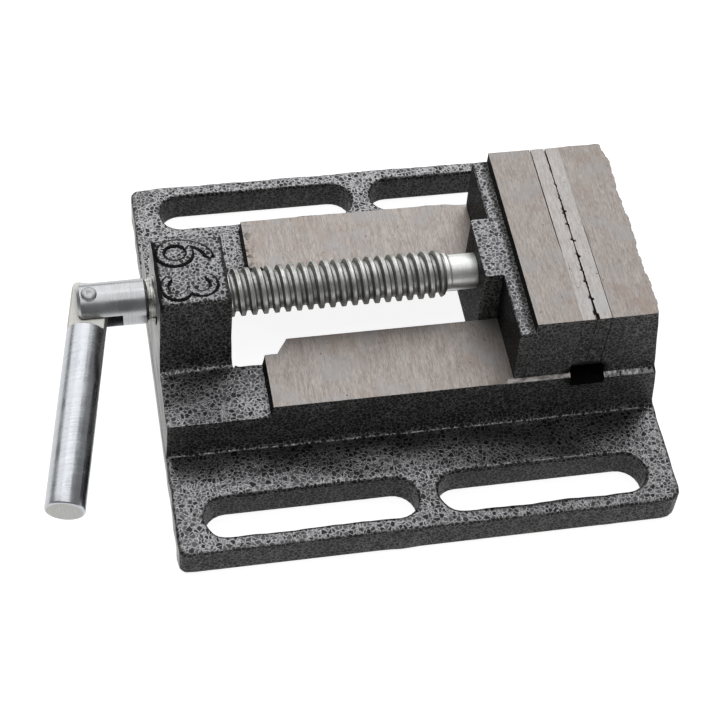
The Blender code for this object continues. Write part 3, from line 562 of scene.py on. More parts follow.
class Palette:
    """The finishes of the vise, each made once."""

    def __init__(self) -> None:
        """Make every material."""
        matt = {"metal": 0.0, "back_sheen_share": 0.0}
        self.made = {label: finish.material() for label, finish in {
            "paint": HammertonePaint(),
            "jaw_paint": HammertonePaint("hammertone_jaw", (0.026, 0.026, 0.028),
                                         (0.34, 0.34, 0.35)),
            # near-black painted shade for the raised number's stroke sides
            "flank": HammertonePaint("hammertone_flank", grey(0.006), grey(0.030),
                                     pit=grey(0.004), upright=grey(0.026), gloss=0.06, **matt),
            "shaded": HammertonePaint("hammertone_shaded", grey(0.005), grey(0.022),
                                      pit=grey(0.004), upright=grey(0.020), gloss=0.04, **matt),
            "sawn": SawnCasting(),
            # bright streaks on the ways' strip: a burr, and a painted highlight
            "burr_and_highlight": SawnCasting("ground_burr_and_highlight", (0.20, 0.19, 0.18), (0.42, 0.40, 0.385),
                                (0.70, 0.67, 0.65)),
            # painted highlight on the fixed jaw's shoulder and the relief groove's lip
            "painted_highlight": SawnCasting("bright_painted_highlight", grey(0.012), grey(0.30), grey(0.85),
                                 (1100.0, 500.0, 900.0)),
            "ground": GroundMetal(),
            "plate": GroundMetal("ground_plate", (0.310, 0.290, 0.278), (0.450, 0.425, 0.410),
                                 (0.345, 0.305, 0.282), (0.370, 0.380, 0.388), top_shade=0.0),
            "thread": TurnedThread(),
            "neck": PlatedBar("zinc_neck", (0.72, 0.73, 0.71), (0.90, 0.91, 0.89), 0.40),
            "collar": PlatedBar("zinc_collar", (0.06, 0.06, 0.056), (0.78, 0.78, 0.75), 0.36,
                                pitted=0.9),
            "fork": PlatedBar("zinc_fork", (0.37, 0.375, 0.385), (0.47, 0.475, 0.49), 0.25),
            "handle": PlatedBar("zinc_handle", (0.40, 0.415, 0.44), (0.52, 0.535, 0.56), 0.24,
                                (0.0, 0.0, math.pi / 2.0)),
            "tang": PlatedBar("zinc_tang", (0.44, 0.435, 0.41), (0.53, 0.525, 0.495), 0.46),
            "end": PlatedBar("zinc_end", (0.38, 0.38, 0.365), (0.46, 0.46, 0.445), 0.50),
            "rivet": PlatedBar("zinc_rivet", (0.26, 0.265, 0.27), (0.44, 0.445, 0.45), 0.36,
                               pitted=0.6),
            "zinc": PlatedBar("zinc_fastener", (0.42, 0.42, 0.41), (0.66, 0.66, 0.64), 0.32),
            "black": BlackSteel()}.items()}

    def pick(self, *labels: str) -> list[Material]:
        """Return the materials of a piece's slots."""
        return [self.made[label] for label in labels]


# Mesh helpers


def link(name: str, data: bpy.types.ID) -> Object:
    """Put a new object in the scene and return it."""
    made = bpy.data.objects.new(name, data)
    bpy.context.scene.collection.objects.link(made)
    return made


def add_piece(name: str, mesh: Mesh, finishes: Sequence[Material], body: Body, slot: Slot,
              *replaced: str) -> Object:
    """Put a mesh in the scene as a piece of the object.

    Args:
        name: the piece's name.
        mesh: its mesh, in place.
        finishes: the materials of its slots.
        body: the body that it rides on.
        slot: the record's material slot; not used.
        replaced: the CAD nodes that it stands for.

    Returns:
        The new piece.
    """
    for finish in finishes:
        mesh.materials.append(finish)
    piece = link(name, mesh)
    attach(piece, body.value)
    if replaced:
        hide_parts(*replaced)
    LOG.info("%s: %d faces on %s", name, len(mesh.polygons), body.value)
    return piece


def finished(bm: BMesh, name: str, angle: float = 35.0) -> Mesh:
    """Turn a bmesh into a mesh, smooth but at edges sharper than an angle in degrees."""
    mesh = bpy.data.meshes.new(name)
    bm.to_mesh(mesh)
    bm.free()
    mesh.shade_smooth()
    mesh.set_sharp_from_angle(angle=math.radians(angle))
    return mesh


def skin(name: str, rings: np.ndarray) -> Mesh:
    """Join rings of points into a closed mesh.

    Ring i and column j give the quad (i, j), (i, j+1), (i+1, j+1), (i+1, j), with the last
    column joined to the first, and each end closed by a fan from the middle of its ring.

    Args:
        name: the mesh's name.
        rings: points of shape (rings, columns, 3).

    Returns:
        The mesh, its faces outwards.
    """
    count, columns, _ = rings.shape
    index = np.arange(count * columns).reshape(count, columns)
    after = np.roll(index, -1, axis=1)
    faces = np.stack([index[:-1], after[:-1], after[1:], index[1:]], -1).reshape(-1, 4).tolist()
    ends = np.stack([rings[0].mean(0), rings[-1].mean(0)])
    first, last = count * columns, count * columns + 1
    faces += [(first, b, a) for a, b in zip(index[0].tolist(), after[0].tolist())]
    faces += [(last, a, b) for a, b in zip(index[-1].tolist(), after[-1].tolist())]
    loose = bpy.data.meshes.new(name)
    loose.from_pydata(np.concatenate([rings.reshape(-1, 3), ends]).tolist(), [], faces)
    bm = bmesh.new()
    bm.from_mesh(loose)
    bpy.data.meshes.remove(loose)
    bmesh.ops.recalc_face_normals(bm, faces=bm.faces)
    if bm.calc_volume(signed=True) < 0.0:
        bmesh.ops.reverse_faces(bm, faces=bm.faces)
    return finished(bm, name, 40.0)


def rings_about_x(along: np.ndarray, radius: np.ndarray, columns: int) -> np.ndarray:
    """Return circles about the X axis: y = r sin a and z = r cos a, for each x and r.

    Args:
        along: the x of each ring.
        radius: the radius of each ring, or of each ring and column.
        columns: the points of a ring.

    Returns:
        Points of shape (rings, columns, 3).
    """
    angle = np.linspace(0.0, 2.0 * np.pi, columns, endpoint=False)
    spread = radius if radius.ndim == 2 else np.repeat(radius[:, None], columns, 1)
    x = np.repeat(along[:, None], columns, 1)
    return np.stack([x, spread * np.sin(angle), spread * np.cos(angle)], -1)


def rounded_profile(corners: Sequence[tuple[float, float, float]], steps: int = 5) -> np.ndarray:
    """Round the corners of an open profile.

    Each corner (x, r, radius) becomes an arc that touches both of its sides: its centre lies on
    the half line between the sides, radius / sin(half the angle) from the corner.

    Args:
        corners: the profile's corners in order.
        steps: the parts of each arc.

    Returns:
        Points of shape (n, 2).
    """
    points = []
    for order, (x, r, radius) in enumerate(corners):
        here = Vector((x, r))
        if radius <= 0.0 or order in (0, len(corners) - 1):
            points.append(here)
            continue
        before = (Vector(corners[order - 1][:2]) - here).normalized()
        after = (Vector(corners[order + 1][:2]) - here).normalized()
        half = before.angle(after) / 2.0
        centre = here + (before + after).normalized() * radius / math.sin(half)
        start, finish = (here + side * radius / math.tan(half) - centre
                         for side in (before, after))
        sweep = math.atan2(start.cross(finish), start.dot(finish))
        points += [centre + Matrix.Rotation(sweep * step / steps, 2) @ start
                   for step in range(steps + 1)]
    return np.array([tuple(point) for point in points])


def placed(points: np.ndarray, matrix: Matrix) -> np.ndarray:
    """Return points carried by a 4 by 4 matrix."""
    whole = np.array(matrix)
    return points @ whole[:3, :3].T + whole[:3, 3]


def smooth_step(values: np.ndarray, low: float, high: float) -> np.ndarray:
    """Return t t (3 - 2 t), where t runs from 0 at low to 1 at high and is held past both."""
    part = np.clip((values - low) / (high - low), 0.0, 1.0)
    return part * part * (3.0 - 2.0 * part)


def ripple(values: np.ndarray, seed: int, lengths: Sequence[float]) -> np.ndarray:
    """Return a smooth uneven line: the mean of one sine for each wave length.

    Each sine has its own start, drawn from the seed, and a height in proportion to the square
    root of its wave length.
    """
    draw = np.random.default_rng(seed)
    shares = np.sqrt(lengths)
    total = sum(share * np.sin(2.0 * np.pi * values / length + draw.uniform(0.0, 2.0 * np.pi))
                for share, length in zip(shares, lengths))
    return total / shares.sum()


def casting_swell(points: np.ndarray, seed: int, lengths: Sequence[float]) -> np.ndarray:
    """Return how far a sand casting's skin stands proud at each point, from -1 to 1.

    It is the mean of one sine for each wave length, along a direction drawn from the seed:
    sin(2 pi (point . direction) / length + start).
    """
    draw = np.random.default_rng(seed)
    total = np.zeros(len(points))
    for length in lengths:
        direction = draw.normal(size=3)
        direction /= np.linalg.norm(direction)
        total += np.sin(2.0 * np.pi * points @ direction / length
                        + draw.uniform(0.0, 2.0 * np.pi))
    return total / len(lengths)


def merged_copy(node: str) -> BMesh:
    """Return a CAD node's mesh with its loose triangles joined and its flat faces whole."""
    bm = bmesh.new()
    bm.from_mesh(frame["nodes"][node].data)
    bmesh.ops.remove_doubles(bm, verts=bm.verts, dist=1e-6)
    bmesh.ops.dissolve_limit(bm, angle_limit=math.radians(0.5), verts=bm.verts, edges=bm.edges)
    return bm


def flat_shading(piece: Object) -> None:
    """Keep a piece's flat faces evenly shaded beside its rounded edges."""
    step = piece.modifiers.new("even_flats", "WEIGHTED_NORMAL")
    step.mode, step.weight, step.keep_sharp = "FACE_AREA", 75, True


def touches(edge: BMEdge, slot: int) -> bool:
    """Say whether an edge borders a face of a material slot."""
    return any(face.material_index == slot for face in edge.link_faces)


def reach_of(item: BMEdge | BMFace, axis: int) -> tuple[float, float]:
    """Return the lowest and highest place of an edge or face along an axis."""
    places = [vert.co[axis] for vert in item.verts]
    return min(places), max(places)


def round_edges(bm: BMesh, width: float, segments: int,
                chosen: Callable[[BMEdge, float, float, float], bool]) -> None:
    """Round a mesh's sharp edges that a rule chooses.

    Args:
        bm: the mesh.
        width: how far the rounding reaches into each side.
        segments: the strips of each rounding.
        chosen: says whether an edge with its middle at x, y, z is rounded.
    """
    edges = [edge for edge in bm.edges
             if edge.is_manifold and edge.calc_face_angle() > math.radians(28.0)
             and chosen(edge, *((edge.verts[0].co + edge.verts[1].co) / 2.0))]
    bmesh.ops.bevel(bm, geom=edges, offset=width, offset_type="OFFSET", segments=segments,
                    profile=0.5, affect="EDGES", clamp_overlap=True, material=-1,
                    miter_outer="ARC")


def slice_across(bm: BMesh, places: Sequence[float], normal: Vector,
                 inside: Callable[[BMFace], bool] = lambda face: True) -> None:
    """Cut the faces inside by planes across a direction, without opening the mesh."""
    faces = [face for face in bm.faces if inside(face)]
    geometry = list({*faces, *(edge for face in faces for edge in face.edges),
                     *(vert for face in faces for vert in face.verts)})
    for place in places:
        geometry = bmesh.ops.bisect_plane(bm, geom=geometry, dist=1e-7, plane_co=normal * place,
                                          plane_no=normal)["geom"]


def close_seam(bm: BMesh, seat: float, toward: float,
               share: Callable[[np.ndarray], np.ndarray]) -> None:
    """Lean a seat's rim over to its plate, where grinding has dragged the metal shut.

    Args:
        bm: the jaw's mesh.
        seat: the x of the seat that the plate stands against.
        toward: the way along X from the seat to the plate.
        share: for each y, how much of the seam is shut.
    """
    gap, lip, end, foot, near = 0.00027, 0.0008, 0.0002, 0.0310, 3e-5
    cuts = [lip - HALF_JAW, *np.linspace(-0.030, 0.030, 48), HALF_JAW - lip]
    for places, axis in (([JAW_HEIGHT - lip], Z_AXIS), (cuts, Y_AXIS)):
        slice_across(bm, places, axis, lambda face: reach_of(face, 2)[1] > foot and any(
            abs(vert.co.x - seat) < near for vert in face.verts))
    rim = [vert for vert in bm.verts if abs(vert.co.x - seat) < near and vert.co.z > foot
           and (vert.co.z > JAW_HEIGHT - end or abs(vert.co.y) > HALF_JAW - end)]
    for vert, part in zip(rim, share(np.array([vert.co.y for vert in rim])).tolist()):
        vert.co.x += toward * gap * part


# Sub-assemblies


@dataclass
class BaseCasting:
    """The iron base: slotted flange, bed, ground ways, nut block and fixed jaw."""

    palette: Palette
    cast_edge: float = 0.0007
    ground_edge: float = 0.00012
    worn_edge: float = 0.0009
    cell: float = 0.0026
    swell: float = 0.000384
    number_height: float = 0.0135
    number_foot: float = -0.0676
    stroke: float = 0.0025
    sinking: float = 0.00003
    foot_share: float = 0.38
    foot_inset: float = 0.0011
    worn_run: tuple[float, float] = (0.0205, 0.0245)
    worn_inset: float = 0.0002
    worn_drop: float = 0.0006
    shoulder_drop: float = 0.0009
    corner: float = 0.0026
    right_corner: float = 0.0042

    def finish_of(self, face: BMFace) -> int:
        """Return the slot of a face: 0 painted, 1 ground, 2 in shade, 3 sawn end."""
        x, _, z = face.calc_center_median()
        if face.normal.z >= 0.99 and min(abs(z - WAY_HEIGHT), abs(z - JAW_HEIGHT)) < 1e-4:
            return 1
        in_groove = 0.0425 < x < 0.0533 and 0.0240 < z < 0.0305
        if in_groove or (face.normal.x < -0.9 and -0.0425 < x < -0.0410 and z > 0.0240):
            return 2
        return 3 if abs(face.normal.x) > 0.9 and abs(x) > 0.0630 else 0

    def build(self) -> None:
        """Make the casting and its raised number."""
        bm = merged_copy("base_casting")
        for face in bm.faces:
            face.material_index = self.finish_of(face)
        for step in (self.tighten_foot, self.tighten_corners, self.wear_strips, self.round_all,
                     self.mark_painted_light, self.cut_cells, self.roughen):
            step(bm)
        looks = "base_casting_looks"
        flat_shading(add_piece(
            looks, finished(bm, looks),
            self.palette.pick("paint", "ground", "shaded", "sawn", "burr_and_highlight", "painted_highlight"),
            Body.BASE, Slot.PAINT, "base_casting"))
        self.build_number()

    def tighten_foot(self, bm: BMesh) -> None:
        """Draw the walls' foot tighter than the plain solid's, and widen the nut block's.

        The foot's arc shrinks towards the line where wall and flange would meet, and that line
        moves in until the wall is upright. The block's foot moves out, most at its left end.
        """
        for vert in bm.verts:
            x, y, z = vert.co
            if 0.0340 < abs(y) < 0.0382 and 0.01015 < z < 0.0138:
                away = math.copysign(FOOT_LINE, y)
                vert.co.y = (away + (y - away) * self.foot_share
                             - math.copysign(self.foot_inset, y))
                vert.co.z = FLANGE_HEIGHT + (z - FLANGE_HEIGHT) * self.foot_share
            elif x < -0.0480 and 0.0112 < abs(y) < 0.0150 and 0.0242 < z < 0.0272:
                vert.co.y += math.copysign(0.0016 + 0.0009 * (-0.0480 - x) / 0.0230, y)

    def tighten_corners(self, bm: BMesh) -> None:
        """Draw the flange's corners tighter.

        A corner's points keep their angle about the corner's middle, on a smaller arc that
        touches the same two sides.
        """
        for vert in bm.verts:
            x, y, z = vert.co
            corner = self.corner if x < 0.0 else self.right_corner
            inset = FLANGE_CORNER - corner
            middle = Vector((math.copysign(HALF_LENGTH - FLANGE_CORNER, x),
                             math.copysign(HALF_WIDTH - FLANGE_CORNER, y)))
            out = Vector((x, y)) - middle
            if z <= FLANGE_HEIGHT + 1e-4 and out.x * x > 1e-9 and out.y * y > 1e-9:
                goal = Vector((math.copysign(inset, x), math.copysign(inset, y)))
                share = out.length / FLANGE_CORNER
                vert.co.xy = middle + share * (goal + out.normalized() * corner)

    def wear_strips(self, bm: BMesh) -> None:
        """Narrow the ways' outer strips beside the sliding jaw's place, and slope the shoulder.

        The fixed jaw's shoulder falls outwards, right of the relief groove.
        """
        for places, axis in ((self.worn_run, X_AXIS), ((-0.0322, 0.0322), Y_AXIS)):
            slice_across(bm, places, axis, lambda face: face.material_index == 1
                         and face.calc_center_median().z < 0.0300)
        for vert in bm.verts:
            x, y, z = vert.co
            if abs(z - WAY_HEIGHT) < 1e-4 and abs(y) > 0.0326 and x < 0.0500:
                worn = float(smooth_step(np.array(x), *self.worn_run))
                vert.co.y -= math.copysign(self.worn_inset, y) * worn
                vert.co.z -= self.worn_drop * worn
            elif x > 0.0525 and abs(z - SHOULDER_HEIGHT) < 1e-4 and abs(y) > 0.0330:
                vert.co.z -= self.shoulder_drop

    def round_all(self, bm: BMesh) -> None:
        """Round the cast edges, wear the ways' inner edges and break the ground ones."""
        above_flange = 0.0105

        def is_worn(edge: BMEdge, x: float, y: float, z: float) -> bool:
            """Say whether an edge is one of the ways' inner ones."""
            return (touches(edge, 1) and abs(z - WAY_HEIGHT) < 1e-4 and abs(y) < 0.0165
                    and -0.0405 < x < 0.0420)

        # In order: the shoulder's foot, the sawn end, other cast edges, the ways' inner and
        # outer edges, the fixed jaw's outer rim, and every ground edge left that is not
        # beside the plate
        round_edges(bm, 0.0005, 2, lambda edge, x, y, z: not edge.is_convex and x > 0.0530
                    and abs(z - SHOULDER_HEIGHT) < 2e-4 and abs(abs(y) - HALF_JAW) < 2e-4)
        round_edges(bm, 0.0015, 4, lambda edge, x, y, z: edge.is_convex and x < -0.0690
                    and abs(y) > 0.0080 and reach_of(edge, 2)[0] > above_flange
                    and touches(edge, 3))
        round_edges(bm, self.cast_edge, 3, lambda edge, x, y, z: edge.is_convex
                    and reach_of(edge, 2)[0] > above_flange and not touches(edge, 1))
        round_edges(bm, self.worn_edge, 4, is_worn)
        round_edges(bm, 0.00035, 3, lambda edge, x, y, z: touches(edge, 1)
                    and 0.0278 < z < 0.0286 and abs(y) > 0.033)
        round_edges(bm, 0.00055, 2, lambda edge, x, y, z: z > 0.0510 and x > 0.0640)
        round_edges(bm, self.ground_edge, 1, lambda edge, x, y, z: touches(edge, 1)
                    and (z <= 0.0510 or 0.0530 <= x <= 0.0640) and not is_worn(edge, x, y, z))

    def mark_painted_light(self, bm: BMesh) -> None:
        """Give the strip, the shoulder and the groove's lip bright slots 4 and 5 as painted
        highlights.
        """
        for face in bm.faces:
            (x, y, z), up = face.calc_center_median(), face.normal.z
            strip = 0.0235 < x < 0.0430 and 0.0276 < z < 0.0284
            shoulder = x > 0.0540 and 0.0262 < z < 0.0279
            lip = 0.0430 < x < 0.0530 and 0.0233 < z < 0.0245
            if (strip or shoulder or lip) and abs(y) > 0.0321 and up > 0.55:
                face.material_index = 4 if strip else 5
            # painted shade: the fixed jaw's rim faces take the near-black shaded slot 2
            elif z > 0.0510 and x > 0.0640 and up < 0.97:
                face.material_index = 2
            elif (face.material_index == 3 and abs(face.normal.x) < 0.96) or (
                    face.material_index == 1 and up < 0.85 and abs(y) > 0.0300):
                face.material_index = 0

    def cut_cells(self, bm: BMesh) -> None:
        """Cut the casting into cells, so that its skin can be uneven."""
        for reach, axis in ((0.0708, X_AXIS), (0.0660, Y_AXIS)):
            count = int(2.0 * reach / self.cell)
            slice_across(bm, np.linspace(-reach, reach, count).tolist(), axis)
        slice_across(bm, (0.0130, 0.0160, 0.0190, 0.0220, 0.0310, 0.0350, 0.0390, 0.0430,
                          0.0470), Z_AXIS)
        slice_across(bm, np.linspace(-HALF_JAW, HALF_JAW, 150)[1:-1].tolist(), Y_AXIS,
                     lambda face: reach_of(face, 2)[1] > 0.0480 and reach_of(face, 0)[1] > 0.0630)
        close_seam(bm, FIXED_SEAT, -1.0, lambda y: 0.42 + 0.58 * smooth_step(y, -0.001, 0.005))

    def roughen(self, bm: BMesh) -> None:
        """Move the painted skin along its normals by a slow swell, and wave the jaw's rim.

        The rim's outer edge moves by a short ripple in X, and by 1.1 mm where its back corner
        is broken off, both fading to nothing 4.7 mm below the top.
        """
        bm.normal_update()
        bm.verts.ensure_lookup_table()
        places = np.array([vert.co[:] for vert in bm.verts])
        normals = np.array([vert.normal[:] for vert in bm.verts])
        cast = np.array([all(face.material_index in (0, 3) for face in vert.link_faces)
                         for vert in bm.verts])
        x, y, z = places.T
        inside = ((np.abs(y) < 0.0250) & (z < 0.0242)) | (
            (np.abs(y) < 0.0120) & (z < 0.0286) & (x > -0.0500))
        bore = (np.hypot(y, z - SCREW_HEIGHT) < 0.0085) & (x < -0.0490)
        seat = (x > 0.0505) & (x < 0.0535) & (np.abs(y) < 0.0319) & (z > 0.0300)
        free = cast & (z > 0.0009) & ~inside & ~bore & ~seat
        rise = casting_swell(places, 5, (0.031, 0.019, 0.0127, 0.0094, 0.0071, 0.0058))
        places += normals * (rise * self.swell * free)[:, None]
        fade = np.clip((z - 0.0470) / 0.0047, 0.0, 1.0) * (x > 0.0635)
        corner = np.clip((y - 0.0225) / 0.0090, 0.0, 1.0) ** 1.5
        wave = ripple(y, 12, (0.024, 0.0075, 0.0031, 0.0013))
        places[:, 0] += fade * (0.00062 * wave + 0.0001 - 0.0011 * corner)
        for vert, place in zip(bm.verts, places.tolist()):
            vert.co = place

    def build_number(self) -> None:
        """Raise the plain number 63, the jaw's width in millimetres, on the nut block.

        Each stroke sinks a little along its way, so that no two tops lie in one plane.
        """
        for glyph, start, low in (("six", 0.0100, 0.0), ("three_top", -0.0018, 0.0),
                                  ("three_foot", -0.0018, 0.00004)):
            path = self.digit_path(glyph, self.number_height, self.number_height * 0.27)
            sink = np.linspace(low, low + self.sinking, len(path))
            places = np.stack([self.number_foot + path[:, 1], start - path[:, 0],
                               BLOCK_HEIGHT - sink], -1)
            mesh = skin(f"raised_{glyph}", self.ridge(places))
            # painted shade: the strokes' sides take the near-black flank finish, dark outlines
            # all round
            sides = np.isin(np.arange(10), (0, 1, 2, 6, 7, 8)).astype(int)
            slots = np.concatenate([np.tile(sides, len(path) - 1), np.zeros(20, int)])
            mesh.polygons.foreach_set("material_index", slots)
            add_piece(f"raised_{glyph}", mesh, self.palette.pick("paint", "flank"), Body.BASE,
                      Slot.PAINT)

    def ridge(self, path: np.ndarray) -> np.ndarray:
        """Return the rings of a cast stroke along a path on a flat top.

        Each ring is the path's point plus one outline, which has steep sides and a flat top.
        Across the path the outline is scaled by half the stroke, and narrowed at both ends as
        a quarter circle.
        """
        along = np.gradient(path, axis=0)
        along /= np.linalg.norm(along, axis=1)[:, None]
        across = np.stack([-along[:, 1], along[:, 0], np.zeros(len(path))], -1)
        length = np.concatenate([[0.0], np.cumsum(np.linalg.norm(np.diff(path, axis=0), axis=1))])
        near = np.minimum(length, length[-1] - length) / (self.stroke / 2.0)
        size = np.sqrt(np.clip(1.0 - (1.0 - np.clip(near, 0.0, 1.0)) ** 2, 0.02, 1.0))
        half = np.array([(1.34, -0.0004), (1.22, 0.0), (0.90, 0.00024), (0.54, 0.00046),
                         (0.40, 0.00052)])
        outline = np.concatenate([half, half[::-1] * (-1.0, 1.0)])
        side = outline[None, :, :1] * across[:, None, :] * self.stroke / 2.0
        up = outline[None, :, 1:] * (0.0, 0.0, 1.0)
        return path[:, None, :] + size[:, None, None] * side + up

    @staticmethod
    def digit_path(glyph: str, tall: float, radius: float) -> np.ndarray:
        """Return the middle line of a digit, as points right and up from its lower left.

        A six is a long arc down its left side into a closed bowl, and a three is two open arcs
        that meet in the middle, each a stroke of its own.
        """
        def arc(start: float, end: float, steps: int, wide: float, high: float,
                up: float) -> np.ndarray:
            """Return part of an ellipse between two angles in degrees."""
            turn = np.linspace(math.radians(start), math.radians(end), steps)
            return np.stack([radius + wide * np.cos(turn), up + high * np.sin(turn)], -1)

        if glyph == "six":
            bowl = radius * 1.12
            turn = np.linspace(0.0, math.pi / 2.0, 20)
            stem = np.stack([radius * 1.75 * (1.0 - np.sin(turn)),
                             bowl + (tall - bowl) * np.cos(turn)], -1)
            return np.concatenate([stem, arc(180.0, 530.0, 40, radius, bowl, bowl)[1:]])
        if glyph == "three_top":
            small = tall * 0.235
            return arc(160.0, -95.0, 26, radius * 0.88, small, tall - small)
        return arc(95.0, -160.0, 30, radius, tall * 0.265, tall * 0.265)


@dataclass
class SlidingJaw:
    """The sliding jaw casting with its ground top."""

    palette: Palette
    cast_edge: float = 0.0005
    ground_edge: float = 0.00012
    draft: float = 0.0006

    def build(self) -> None:
        """Make the jaw, with slots 0 painted, 1 ground and 2 in shade."""
        bm = merged_copy("moving_jaw")
        for face in bm.faces:
            z = face.calc_center_median().z
            ground = face.normal.z > 0.99 and abs(z - JAW_HEIGHT) < 1e-4
            face.material_index = 1 if ground else 2 if face.normal.x < -0.9 or z < 0.0285 else 0
        for vert in bm.verts:
            if abs(vert.co.y) > 0.0315 and vert.co.z < 0.0330:
                vert.co.y += math.copysign(self.draft, vert.co.y)
        round_edges(bm, self.cast_edge, 3, lambda edge, x, y, z: z > 0.0300 and x < 0.0425
                    and edge.is_convex and not touches(edge, 1))
        round_edges(bm, self.ground_edge, 1,
                    lambda edge, x, y, z: touches(edge, 1) and x < 0.0425)
        close_seam(bm, MOVING_SEAT, 1.0, lambda y: 1.0 - smooth_step(y, -0.014, 0.002))
        flat_shading(add_piece("moving_jaw_looks", finished(bm, "moving_jaw_looks"),
                               self.palette.pick("jaw_paint", "ground", "shaded"), Body.JAW,
                               Slot.PAINT, "moving_jaw"))


@dataclass
class JawPlates:
    """The two hard plates, whose facing edges have chipped to an uneven line."""

    palette: Palette
    margin: float = 0.0006
    chip: float = 0.00026
    parts: int = 190

    def build(self) -> None:
        """Make both plates."""
        self.build_plate("moving_jaw_plate", Body.JAW, MOVING_GRIP, -1.0, 4)
        self.build_plate("fixed_jaw_plate", Body.BASE, FIXED_GRIP, 1.0, 9)

    def build_plate(self, node: str, body: Body, face_x: float, inward: float, seed: int) -> None:
        """Make one plate, with its chipped edge pushed into it along inward from its gripping
        face.
        """
        bm = merged_copy(node)
        top = JAW_HEIGHT - self.margin

        def near_top(face: BMFace) -> bool:
            """Say whether a face reaches the plate's uppermost strip."""
            return reach_of(face, 2)[1] > top - 1e-5

        slice_across(bm, [top], Z_AXIS)
        slice_across(bm, [face_x + inward * self.margin], X_AXIS, near_top)
        cuts = np.linspace(-HALF_JAW, HALF_JAW, self.parts + 1)[1:-1]
        slice_across(bm, cuts.tolist(), Y_AXIS, near_top)
        rim = [vert for vert in bm.verts if abs(vert.co.z - JAW_HEIGHT) < 1e-6
               and abs(vert.co.x - face_x) < 1e-6]
        across = np.array([vert.co.y for vert in rim])
        uneven = ripple(across, seed, (0.021, 0.0083, 0.0037, 0.0016, 0.0009))
        sharp = np.clip(ripple(across, seed + 1, (0.0053, 0.0019, 0.0010)), 0.0, 1.0) ** 2
        front = 1.0 - smooth_step(across, -HALF_JAW, -0.0180)
        torn = 0.15 + 2.0 * (1.0 - smooth_step(across, 0.0120, 0.0250))
        depth = self.chip * (0.8 * np.clip(0.10 + uneven, 0.0, 1.0) + torn * sharp
                             + 0.8 * front)
        for vert, reach in zip(rim, depth.tolist()):
            vert.co.x += inward * reach
            vert.co.z -= reach * 0.45
        bm.normal_update()
        for face in bm.faces:
            # painted shade: chipped faces at the top of the gripping face take the near-black
            # shaded slot
            chipped = (-inward * face.normal.x > 0.35 and near_top(face)
                       and face.calc_center_median().z > top)
            face.material_index = 1 if abs(face.normal.y) > 0.9 else 2 if chipped else 0
        add_piece(f"{node}_looks", finished(bm, f"{node}_looks", 30.0),
                  self.palette.pick("plate", "paint", "shaded"), body, Slot.GROUND, node)


